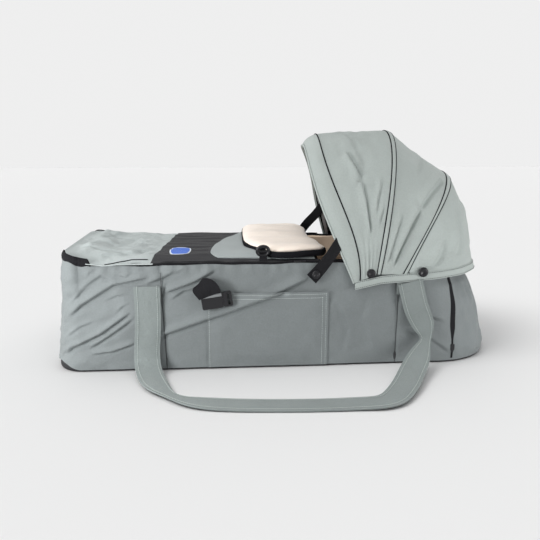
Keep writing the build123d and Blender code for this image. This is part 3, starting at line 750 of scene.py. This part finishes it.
def front_swell(along, across, grid):
    """The front panel sags a little, with one sharp pleat and soft gathers towards its foot."""
    arch = np.sin(math.pi * across)
    middle = np.sin(math.pi * along)
    total = arch * (1.5 * middle + 2.0 * (1 - middle))
    total += arch * (1.3 * ripples(grid, 70, 41) + 0.75 * ripples(grid, 26, 42))
    for side in (0, 1):
        near = along if side == 0 else 1 - along
        total += 0.9 * arch * np.sin(across * 34 + 3 * side) * np.exp(-((near - 0.04) / 0.05) ** 2)
        total += ridge(near, across, (0.33, 0.30), (0.235, 0.47), 4.2, 1.5)
        total += ridge(near, across, (0.235, 0.47), (0.10, 0.52), 3.0, 1.3)
        total += ridge(near, across, (0.22, 0.36), (0.235, 0.50), 1.8, 0.9)
        total += ridge(near, across, (0.24, 0.84), (0.15, 0.70), 2.0, 1.0)
        total += ridge(near, across, (0.17, 0.92), (0.12, 0.78), 1.8, 0.9)
        total += ridge(near, across, (0.45, 0.35), (0.26, 0.52), 1.8, 2.2)
    return total


def mid_swell(along, across, grid):
    """The middle panel is drawn tight, with one long groove from its back top to its foot."""
    arch = np.sin(math.pi * across)
    middle = np.sin(math.pi * along)
    total = arch * (-4.0 * middle + 1.0)
    total += arch * (1.2 * ripples(grid, 80, 43) + 0.6 * ripples(grid, 24, 44))
    for side in (0, 1):
        near = along if side == 0 else 1 - along
        total += ridge(near, across, (0.36, 0.90), (0.20, 0.62), 3.6, 2.0)
        total += ridge(near, across, (0.20, 0.62), (0.03, 0.40), 4.0, 1.8)
        total += ridge(near, across, (0.44, 0.55), (0.30, 0.40), 2.0, 3.0)
        total += ridge(near, across, (0.16, 0.25), (0.03, 0.15), 1.8, 1.4)
    return total


def rear_swell(along, across, grid):
    """The rear panel hangs in a full curve over the head end."""
    middle = np.sin(math.pi * along) ** 1.5
    arch = np.sin(math.pi * across ** 0.9)
    total = arch * (10.0 * middle + 3.0 * (1 - middle))
    total += arch * (1.6 * ripples(grid, 85, 45) + 0.8 * ripples(grid, 28, 46))
    for side in (0, 1):
        near = along if side == 0 else 1 - along
        total += ridge(near, across, (0.30, 0.10), (0.17, 0.75), 3.0, 3.0)
        total += ridge(near, across, (0.16, 0.35), (0.08, 0.80), 2.4, 2.4)
        total += ridge(near, across, (0.42, 0.30), (0.34, 0.85), 2.2, 3.2)
    return total


# The hem: a band round the head end, open at the front.
HEM_SQUARE, HEM_REACH, HEM_Y = 3.4, 226.0, 187.0
HEM_BAND = 14.5
hem_turn = np.linspace(0.0, math.pi, 400)
round_x = HUB[0] + HEM_REACH * np.sin(hem_turn) ** (2 / HEM_SQUARE)
round_y = -HEM_Y * np.sign(np.cos(hem_turn)) * np.abs(np.cos(hem_turn)) ** (2 / HEM_SQUARE)
hem_plan = np.concatenate([
    [(125.0, -HEM_Y + 1), (139.0, -HEM_Y - 0.5)], np.stack([round_x, round_y], 1),
    [(139.0, HEM_Y + 0.5), (125.0, HEM_Y - 1)]])
hem_path = resample(hem_plan, 3.0)
hem_along = np.gradient(hem_path, axis=0)
hem_along /= np.linalg.norm(hem_along, axis=1, keepdims=True)
hem_out = np.stack([hem_along[:, 1], -hem_along[:, 0]], 1)
HEM_LOW_X = [125, 136, 173, 205, 250, 300, 350, 395]
HEM_LOW_Z = [142, 145, 152.5, 155, 157, 160, 164, 165]
hem_low = np.interp(hem_path[:, 0], HEM_LOW_X, HEM_LOW_Z)


def hem_point(up, proud):
    """The line that runs round the hem, up from its lower edge and standing proud of it."""
    flare = 4.0 * (1 - up / HEM_BAND) * smoothstep(hem_path[:, 0], 250, 400)
    wave = 0.8 * np.sin(hem_path[:, 0] / 11.0 + hem_path[:, 1] / 17.0)
    flat = hem_path + hem_out * (proud + flare + wave * (1 - up / HEM_BAND))[:, None]
    return np.concatenate([flat, (hem_low + up)[:, None]], 1)


hem_columns = [
    hem_point(up, 0.9 + 0.7 * math.sin(math.pi * up / HEM_BAND)) for up in np.linspace(0, HEM_BAND, 8)]
hem = cloth("hem_band", np.stack(hem_columns, 1), 2.6, hood_cloth, dark_cloth)
register(hem, "cot", ["hood_hem"])
hem_lines = [hem_point(up, 1.75) for up in (2.2, HEM_BAND - 1.6)]
register(stitches("hem_stitches", hem_lines, dark_thread_and_seam_shade), "cot")

hem_top = hem_point(HEM_BAND, 0.2)
behind = hem_top[(hem_top[:, 0] > 221)]
hem_seam = resample(behind, 1.0)
pick = np.interp(arch_share, [0, 1], [0, len(hem_seam) - 1])
hem_seam = np.stack([np.interp(pick, np.arange(len(hem_seam)), hem_seam[:, k]) for k in range(3)], 1)


def hood_panel(name, grid, node):
    panel = cloth(name, grid, 1.3, hood_cloth, dark_cloth, flip=True)
    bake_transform(panel)
    return register(panel, None, [node])


lines = {name: seam(name) for name in HOOD_SEAMS}
hood_panel("hood_cloth_rear", between(lines["rear_back"], hem_seam, 44, rear_swell),
           "hood_panel_rear")
hood_panel("hood_cloth_mid", between(lines["mid_back"], lines["rear_front"], 44, mid_swell),
           "hood_panel_mid")
hood_panel("hood_cloth_front", between(lines["front"], lines["mid_front"], 48, front_swell),
           "hood_panel_front")


def raised(height):
    return lambda along, across, grid: height * np.sin(math.pi * across) ** 0.5


def inner_offset(path, depth):
    """A seam moved in towards the hood's inside."""
    grid = np.stack([path, path + np.array([1.0, 0, 0])], 1)
    return path + normals(grid)[:, 0] * depth


def hood_cord(name, seam_name, radius, surface, body):
    """A round cord along one of the hood's seams."""
    cord = tube(name, lines[seam_name], radius, surface, up=(1, 0.01, 0.02))
    register(cord, body)


for place, body in (("mid", "hood_mid"), ("rear", "hood_rear")):
    first, last = lines[f"{place}_front"], lines[f"{place}_back"]
    cover = between(first, last, 9, raised(1.7))
    sleeve = cloth(f"hood_sleeve_{place}", cover, 3.0, hood_cloth, dark_cloth, flip=True)
    register(sleeve, body, [f"sleeve_{place}"])
    for edge in ("front", "back"):
        hood_cord(f"hood_piping_{place}_{edge}", f"{place}_{edge}", 1.15, dark_cloth, body)

visor_grid = between(lines["edge"], lines["front"], 22, lambda along, across, grid: (
    np.sin(math.pi * across) * (3.2 + 0.8 * ripples(grid, 60, 47)) - 1.0 * (across < 0.05)))
visor = cloth("hood_visor_band", visor_grid, 2.6, hood_cloth, dark_cloth, flip=True)
register(visor, "hood_front", ["hood_visor"])
hood_cord("hood_visor_edge", "edge", 1.7, hood_cloth, "hood_front")
hood_cord("hood_piping_front", "front", 1.25, dark_cloth, "hood_front")

BOW_SEAMS = {
    "rear": ("rear_front", "rear_back"),
    "mid": ("mid_front", "mid_back"),
    "front": ("edge", "front"),
}
for place, seams in BOW_SEAMS.items():
    middle = (lines[seams[0]] + lines[seams[1]]) / 2
    toward = lines[seams[1]] - lines[seams[0]]
    toward /= np.linalg.norm(toward, axis=1, keepdims=True)
    inside = inner_offset(middle, 4.2)
    edges = np.stack([inside - toward * 3.6, inside + toward * 3.6], 1)
    spring = cloth(f"bow_spring_{place}", edges, 1.0, steel_strip, flip=True)
    register(spring, f"hood_{place}", [f"bow_{place}"])


# ---------------------------------------------------------------- round snaps
SNAP_RADIUS, SNAP_SIDES = 8.2, 40
HUB_CAP_Y, HEM_CAP = 188.6, (247.0, 173.0)
HEM_CAP_Y, HEM_CAP_RADIUS = 189.4, 9.0


def snap(name, x, z, y_face, side, radius=SNAP_RADIUS):
    """A round press-stud cap, turned about an axis across the cot."""
    profile = [(0.0, 1.5), (2.6, 1.5), (3.2, 2.0), (4.0, 2.6), (5.6, 2.7), (7.0, 2.1), (8.0, 1.0), (8.2, 0.0),
               (7.6, -1.4)]
    turn = np.linspace(0, 2 * math.pi, SNAP_SIDES, endpoint=False)
    rings = []
    for r, h in profile:
        r = max(r, 0.05) * radius / SNAP_RADIUS
        y = np.full(SNAP_SIDES, y_face + side * h)
        rings.append(np.stack([x + r * np.cos(turn), y, z + r * np.sin(turn)], 1))
    return cloth(name, np.stack(rings, 1), 0.6, black_plastic, closed=True, flip=side < 0)


for side_name, side in SIDES.items():
    hub_cap = snap(f"hub_cap_{side_name}", *HUB, side * HUB_CAP_Y, side)
    register(hub_cap, "cot", ["hood_hubs"])
    hem_cap = snap(f"hem_cap_{side_name}", *HEM_CAP, side * HEM_CAP_Y, side, HEM_CAP_RADIUS)
    register(hem_cap, "cot", ["hem_snaps"])


# ---------------------------------------------------------------- ribbons
def ribbon(name, edges, thick, material, columns=9, crown=0.5, seed=51, flip=False):
    """A strap from matching pairs of edge points: [(first edge xyz, second edge xyz), ...]."""
    first = smooth_path([pair[0] for pair in edges], 12)
    last = smooth_path([pair[1] for pair in edges], 12)
    share = np.linspace(0, 1, columns)
    grid = first[:, None] * (1 - share)[None, :, None] + last[:, None] * share[None, :, None]
    out = normals(grid) * (-1 if flip else 1)
    arch = np.sin(math.pi * share)[None, :]
    lift = crown * arch + 0.5 * ripples(grid, 60, seed) * arch + 0.25 * ripples(grid, 18, seed + 1) * arch
    return cloth(name, grid + out * lift[..., None], thick, material, flip=flip), grid


def on_side(pairs, side):
    """Pairs of near-side edge points, mirrored when side is the far one."""
    return [tuple((x, -side * y, z) for x, y, z in pair) for pair in pairs]


# The strap's middle line: down the wall, out over the floor in a loop, and back up.
STRAP_WIDTH = 45.0
STRAP_ROUTE = [
    (-240, -187, 155), (-240, -189, 90), (-243, -195, 30), (-234, -230, 10), (-212, -285, 8), (-175, -328, 7),
    (-110, -345, 4), (0, -355, 3), (90, -358, 4), (145, -356, 7), (180, -318, 11), (218, -252, 20),
    (250, -207, 45), (252, -198, 70), (236, -193, 110), (225, -187, 155),
]
FOLD_SHARE = 0.55        # how much of its width the strap loses at a fold
STRAP_FOLDS = ((0.31, 0.05), (0.82, 0.05))   # where along it the webbing folds on itself, and over how much


def strap_edges(side):
    """Both edges of a carry strap: flat on the wall and on the floor, and narrower at its folds."""
    route = smooth_path(STRAP_ROUTE, 4) * np.array([1.0, -side, 1.0])
    along = np.gradient(route, axis=0)
    upright = smoothstep(route[:, 2], 5, 60)
    face = np.stack([0 * upright, side * upright, 1.02 - upright], 1)
    across = np.cross(face, along) * -side
    across /= np.linalg.norm(across, axis=1, keepdims=True)
    share = np.linspace(0, 1, len(route))
    narrowing = sum(FOLD_SHARE * np.exp(-((share - at) / reach) ** 2) for at, reach in STRAP_FOLDS)
    width = STRAP_WIDTH * (1 - narrowing)
    half = across * width[:, None] / 2
    return list(zip(route - half, route + half))


ANCHOR_X = ((-262.5, -216.5), (202.0, 245.5))   # the two patches that sew a strap to the wall
ANCHOR_Z = (132, 154)
ANCHOR_Y = 184.5         # the patches stand at least this far out
for side_name, side in SIDES.items():
    edges = strap_edges(side)
    name = f"carry_strap_{side_name}"
    strap, strap_grid = ribbon(name, edges, 1.9, grey_webbing, crown=0.7, flip=side > 0)
    up = normals(strap_grid) * (-1 if side > 0 else 1)
    seams = [strap_grid[:, column] + up[:, column] * 1.15 for column in (1, -2)]
    strap = joined(name, [strap, stitches("strap_stitches", seams, grey_thread)])
    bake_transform(strap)
    register(strap, None, [f"strap_legs_{side_name}", f"strap_loop_{side_name}"])
    patches = []
    for ends in ANCHOR_X:
        gx, gz = np.meshgrid(np.linspace(*ends, 12), np.linspace(*ANCHOR_Z, 9), indexing="ij")
        patch = on_wall(gx, gz, 3.0, side)
        patch[..., 1] = side * np.maximum(np.abs(patch[..., 1]), ANCHOR_Y)
        patches.append(cloth("patch", patch, 2.4, grey_webbing, flip=side > 0))
    register(joined(f"strap_anchor_{side_name}", patches), "cot", ["strap_anchors"])

# ---------------------------------------------------------------- hood straps with their snaps
HOOD_STRAP = [
    ((39, -185.2, 171), (55, -185.2, 155)),
    ((53, -185.6, 186), (69, -185.6, 172)),
    ((68, -184.6, 203), (83, -184.6, 190)),
    ((83, -180, 223), (98, -180, 210)),
    ((98, -167, 242), (113, -167, 229)),
    ((112, -150, 264), (127, -150, 251)),
]
for side_name, side in SIDES.items():
    pairs = on_side(HOOD_STRAP, side)
    strap, _ = ribbon(f"hood_strap_web_{side_name}", pairs, 1.3, black_webbing, crown=0.2, flip=side < 0)
    register(strap, f"hood_strap_{side_name}", [f"hood_strap_{side_name}"])
    stud = snap(f"hood_strap_stud_{side_name}", 55.0, 171.0, side * 186.4, side, 7.6)
    register(stud, f"hood_strap_{side_name}", [f"hood_strap_snap_{side_name}"])

# ---------------------------------------------------------------- buckle webbing
BUCKLE_WEB = [
    ((-160, -184.6, 150), (-143, -184.6, 168)),
    ((-161, -188.0, 146), (-134, -190.0, 169)),
    ((-159, -193.0, 142), (-124, -195.0, 165)),
    ((-155, -196.6, 138), (-116, -198.0, 156)),
    ((-150, -197.6, 132), (-112, -198.4, 146)),
]
for side_name, side in SIDES.items():
    pairs = on_side(BUCKLE_WEB, side)
    web, _ = ribbon(f"buckle_web_{side_name}", pairs, 1.6, black_webbing, crown=2.4, seed=61, flip=side < 0)
    register(web, "cot", ["buckle_webbings"])

# ---------------------------------------------------------------- apron over the foot end
APRON_FOOT, BAND_X, INSET_X, APRON_END = -393.0, -216.0, -132.0, 62.0
FOOT_TUCK = 18.0         # how far the foot end leans in under the apron


def half_width(x, inset):
    """Half the cot's width at its rim at x, moved in by inset."""
    into = np.clip(FOOT_X + FOOT_RADIUS + FOOT_TUCK - np.asarray(x, float), 0, FOOT_RADIUS - inset)
    return HALF_WIDTH - FOOT_RADIUS + np.sqrt((FOOT_RADIUS - inset) ** 2 - into ** 2)


def inset_line(across):
    """Where the grey inset begins: a curve with a rounded near corner."""
    corner = 350 * np.clip(-0.80 - across, 0, 1) ** 2
    return INSET_X + 2 + 22 * (across + 0.80) ** 2 + 6 * (across + 0.8) + corner


CROWN_X = [-393, -378, -360, -340, -300, -250, -206, -130, -60, 62]
CROWN_Z = [206, 208.5, 210.5, 209.5, 205.5, 203.5, 203, 202.5, 202, 199]
APRON_RIM_X = [-393, -378, -345, -315, -290, 62]
APRON_RIM_Z = [209, 206, 196, 192.0, 193.5, 193.5]
APRON_FOLDS = [
    ([(-380, -60), (-330, -95), (-270, -110)], 2.4, 7),
    ([(-330, -140), (-285, -118), (-238, -78)], 2.0, 5),
    ([(-360, 20), (-310, -30), (-250, -20)], 2.2, 8),
    ([(-350, 110), (-300, 60), (-240, 70)], 2.2, 8),
    ([(-390, 60), (-345, 70), (-320, 120)], 2.0, 7),
]


def apron_height(x, y):
    """The apron's top: puffed at the foot, gathered along the cot elsewhere."""
    points = np.stack([x, y, np.zeros(x.shape)], -1)
    crown = np.interp(x, CROWN_X, CROWN_Z)
    to_side = half_width(x, 11) - np.abs(y)
    to_foot = x - APRON_FOOT
    edge = smoothstep(np.minimum(to_side, to_foot * 1.2), 0, 52) ** 0.75
    rim_z = np.interp(x, APRON_RIM_X, APRON_RIM_Z)
    foot_part = smoothstep(-x, 190, 260)
    body = rim_z + (crown - rim_z) * edge
    puffs = 2.2 * ripples(points, 75, 71) + 1.0 * ripples(points, 30, 72) + 0.3 * ripples(points, 13, 73)
    body += edge * foot_part * puffs
    in_band = 1 - smoothstep(x - inset_line(y / HALF_WIDTH), -14, 4)
    gathers = 0.6 * np.sin(y / 3.1 + 1.4 * np.sin(x / 37))
    gathers += 1.0 * np.sin(y / 7.3 + 1.1 + 1.6 * np.sin(x / 43))
    body += edge * (1 - foot_part) * in_band * gathers
    body += edge * (0.8 * ripples(points, 90, 74))
    for line, depth, width in APRON_FOLDS:
        body += crease(x, y, line, depth, width)
    return body


def apron_sheet(name, x_from, x_to, inset, lift, thick, outside, columns=150, rows=80, bulge=0.0):
    """A stretch of the apron; x_from and x_to are functions of y from -1 to 1 across the cot."""
    across = np.linspace(-1, 1, columns)[None, :]
    along = np.linspace(0, 1, rows)[:, None]
    x = x_from(across) + (x_to(across) - x_from(across)) * along
    y = across * half_width(x, inset) * (1 - bulge * (1 - along) ** 2)
    z = apron_height(x, y) + lift
    return cloth(name, np.stack([x, y, z], -1), thick, outside, dark_cloth)


def band_line(across):
    return BAND_X + 18 * across


apron_cloth = apron_sheet("apron_foot", lambda c: APRON_FOOT + 0 * c, lambda c: band_line(c) + 4, 2.5, -0.6, 1.2,
                          apron_cloth_surface)
register(apron_cloth, "apron", ["apron_cover"])
band = apron_sheet("apron_black", band_line, lambda c: APRON_END + 0 * c, 9.0, 0.5, 2.0, black_cloth,
                   rows=110)
register(band, "apron", ["apron_band"])

inset = apron_sheet("apron_grey", inset_line, lambda c: APRON_END - 6 + 0 * c, 20.0, 2.6, 2.0, inset_cloth,
                    bulge=0.05)
register(inset, "apron", ["apron_inset"])

seam_x = np.linspace(-312, -240, 40)
seam_y = np.interp(seam_x, [-312, -290, -268, -240], [-174, -163, -155, -156])
seam_points = np.stack([seam_x, seam_y, apron_height(seam_x, seam_y) + 0.2], 1)
register(tube("apron_dart", seam_points, 0.9, dark_cloth, sides=6), "apron")

LABEL = (-186.0, -100.0)
LABEL_SIZE = (19.5, 34.0)


def label_grid(scale, lift):
    turn = np.linspace(0, 2 * math.pi, 60, endpoint=False)[:, None]
    reach = np.linspace(0.02, 1, 10)[None, :] * scale
    blunt = (np.abs(np.cos(turn)) ** 3 + np.abs(np.sin(turn)) ** 3) ** (-1 / 3)
    x = LABEL[0] + LABEL_SIZE[0] * reach * np.cos(turn) * blunt
    y = LABEL[1] + LABEL_SIZE[1] * reach * np.sin(turn) * blunt
    return np.stack([x, y, apron_height(x, y) + lift], -1)


border = cloth("label_border", label_grid(1.0, 1.3), 0.7, white_weave, closed=True, flip=True)
register(border, "apron", ["apron_label"])
field = cloth("label_field", label_grid(0.88, 1.7), 0.7, blue_weave, closed=True, flip=True)
register(field, "apron")

# ---------------------------------------------------------------- bib, folded back on the apron
BIB_OUTLINE = [
    (-66, -60), (-60, -88), (-50, -112), (-33, -146), (-10, -168), (14, -168), (40, -162), (68, -153),
    (79, -132), (75, -92), (70, -60), (64, -30), (64, 0), (66, 40), (71, 84), (73, 118), (66, 156), (48, 172),
    (0, 174),
    (-38, 168), (-58, 146), (-64, 100), (-66, 40), (-67, -10),
]
BIB_MIDDLE, BIB_SPINE = 2.0, 110   # x and half length of the line that the bib's rings close on
bib_edge = smooth_path(BIB_OUTLINE, 10, closed=True)
bib_edge = resample(np.concatenate([bib_edge, bib_edge[:1]]), 3.0)[:-1]


def bib_grid(profile, dent, near=0.0):
    """Rings of the bib's outline: each is (share of the way out, height); near widens its near side."""
    rings = []
    for share, height in profile:
        spine = np.clip(bib_edge[:, 1], -BIB_SPINE, BIB_SPINE)
        centre = np.stack([np.full(len(bib_edge), BIB_MIDDLE), spine], 1)
        flat = centre + (bib_edge - centre) * share
        flat[:, 1] -= near * smoothstep(-flat[:, 1], 90, 160)
        rise = 3.2 + 1.8 * smoothstep(flat[:, 1], -150, 150) + 1.6 * np.cos(flat[:, 1] / 48.0)
        points = np.concatenate([flat, np.zeros((len(flat), 1))], 1)
        soft = dent * ripples(points, 70, 81) + 0.4 * dent * ripples(points, 24, 82)
        rings.append(np.concatenate([flat, (height + rise + soft)[:, None]], 1))
    return np.stack(rings, 1)


pad_profile = [(0.0, 204.5), (0.5, 204), (0.9, 203.4), (0.975, 205), (1.0, 207.5), (0.99, 209.8),
               (0.955, 211.6),
               (0.9, 213.0), (0.8, 214.4), (0.65, 215.4), (0.5, 215.8), (0.3, 216.0), (0.12, 216.0),
               (0.0, 216.0)]
bib = cloth("bib_fleece", bib_grid(pad_profile, 0.9, -7.0), 0.5, fleece, closed=True)
register(bib, "bib", ["bib_pad"])
back_profile = [(0.0, 199.5), (0.5, 199), (0.93, 197.0), (1.0, 197.6), (1.02, 200.0), (1.024, 203.0),
                (1.016, 205.8),
                (1.0, 207.0), (0.97, 207)]
back_profile = [(share, height + 1.6 * smoothstep(height, 201, 206)) for share, height in back_profile]
bib_back = cloth("bib_back", bib_grid(back_profile, 0.5, 3.0), 0.8, dark_cloth, closed=True)
register(bib_back, "bib", ["bib_trim"])

# A ring on a short tab at the near corner of the bib.
RING = (-37.0, -165.0, 211.0)
turn = np.linspace(0, 2 * math.pi, 48, endpoint=False)
ring_y = np.full(48, RING[1]) - 2.0 * np.sin(turn)
ring_path = np.stack([RING[0] + 10.4 * np.cos(turn), ring_y, RING[2] + 8.6 * np.sin(turn)], 1)
ring = tube("bib_ring", ring_path, 2.9, black_plastic, closed=True, sides=12, up=(0, 1, 0))
register(ring, "bib", ["bib_button"])
bar_path = np.stack([np.linspace(-9, 9, 12) + RING[0], np.full(12, RING[1]), np.full(12, RING[2] - 1.0)], 1)
register(tube("bib_ring_bar", bar_path, 1.7, black_plastic, up=(0, 1, 0)), "bib")
tab, _ = ribbon("bib_ring_tab", [((-42, -160, 216), (-32, -160, 216)), ((-43, -163, 206), (-31, -163, 206)),
                                 ((-44, -171, 198), (-30, -171, 198)), ((-44, -173, 195), (-30, -173, 195))],
                1.2, black_webbing, crown=0.2, seed=91)
register(tab, "bib")

# ---------------------------------------------------------------- hard pieces shown as they are in CAD
HARD_PIECES = ("buckle_socket", "buckle_plug", "buckle_prong", "side_zip_slider", "head_zip_slider")
for node_name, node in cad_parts.items():
    if node_name.startswith(HARD_PIECES):
        node.data.materials.clear()
        node.data.materials.append(black_plastic)

# A lighter strip along the top of each buckle socket: a painted highlight of the socket's top edge.
LIP = [((-146.8, -196.4, 139.0), (-146.0, -196.4, 133.2)), ((-129, -196.4, 141.5), (-128.2, -196.4, 135.7)),
       ((-112.0, -196.4, 143.9), (-111.2, -196.4, 138.1))]
for side_name, side in SIDES.items():
    pairs = on_side(LIP, side)
    lip, _ = ribbon(f"buckle_lip_highlight_{side_name}", pairs, 1.2, highlight_plastic, crown=0.8, flip=side < 0)
    register(lip, "cot")

# ---------------------------------------------------------------- floor, backdrop and light
bpy.context.scene.view_settings.view_transform = "Standard"
PALE = 0.86              # grey level of the floor and the backdrop
WORLD_STRENGTH = 0.33
unlit_by_boxes = bpy.data.collections.new("unlit_by_boxes")


def stage_plane(name, corners, surface):
    mesh = bpy.data.meshes.new(name)
    mesh.from_pydata(corners, [], [(0, 1, 2, 3)])
    mesh.materials.append(surface)
    plane = bpy.data.objects.new(name, mesh)
    bpy.context.scene.collection.objects.link(plane)
    unlit_by_boxes.objects.link(plane)


REACH, BACK = 12.0, 9.0
floor_surface, _, floor_shader = new_material("floor_surface", (PALE, PALE, PALE), 1.0)
floor_shader.inputs["Specular IOR Level"].default_value = 0.0
floor_corners = [(-REACH, -REACH, 0), (REACH, -REACH, 0), (REACH, BACK, 0), (-REACH, BACK, 0)]
stage_plane("floor", floor_corners, floor_surface)
wall_surface, _, wall_shader = new_material("backdrop_surface", (0, 0, 0), 1.0)
wall_shader.inputs["Specular IOR Level"].default_value = 0.0
wall_shader.inputs["Emission Color"].default_value = (1, 1, 1, 1)
wall_shader.inputs["Emission Strength"].default_value = PALE
wall_corners = [(-REACH, BACK, -1), (REACH, BACK, -1), (REACH, BACK, 8), (-REACH, BACK, 8)]
stage_plane("backdrop", wall_corners, wall_surface)

world = bpy.data.worlds.new("studio")
bpy.context.scene.world = world
world.use_nodes = True
background = world.node_tree.nodes["Background"]
background.inputs["Color"].default_value = (1, 1, 1, 1)
background.inputs["Strength"].default_value = WORLD_STRENGTH


def soft_sun(name, towards, strength, spread):
    """A broad, even light from the direction that towards points to."""
    data = bpy.data.lights.new(name, "SUN")
    data.energy = strength
    data.angle = math.radians(spread)
    lamp = bpy.data.objects.new(name, data)
    lamp.rotation_euler = Vector(towards).to_track_quat("Z", "Y").to_euler()
    bpy.context.scene.collection.objects.link(lamp)


soft_sun("overhead", (-0.20, 0.20, 1.0), 1.22, 115)
soft_sun("key", (-0.75, -0.25, 1.0), 1.10, 32)


def soft_box(name, place, target, size, power):
    """A soft box that lights one end of the cot's side; the floor and the backdrop do not take its light."""
    data = bpy.data.lights.new(name, "AREA")
    data.size = size
    data.energy = power
    lamp = bpy.data.objects.new(name, data)
    lamp.location = place
    lamp.rotation_euler = (Vector(place) - Vector(target)).to_track_quat("Z", "Y").to_euler()
    lamp.light_linking.receiver_collection = unlit_by_boxes
    for receiver in unlit_by_boxes.collection_objects:
        receiver.light_linking.link_state = "EXCLUDE"
    bpy.context.scene.collection.objects.link(lamp)


soft_box("foot_box", (-0.66, -0.58, 0.26), (-0.42, -0.18, 0.10), 0.25, 4.2)
soft_box("head_box", (0.74, -0.56, 0.20), (0.40, -0.15, 0.08), 0.25, 2.2)
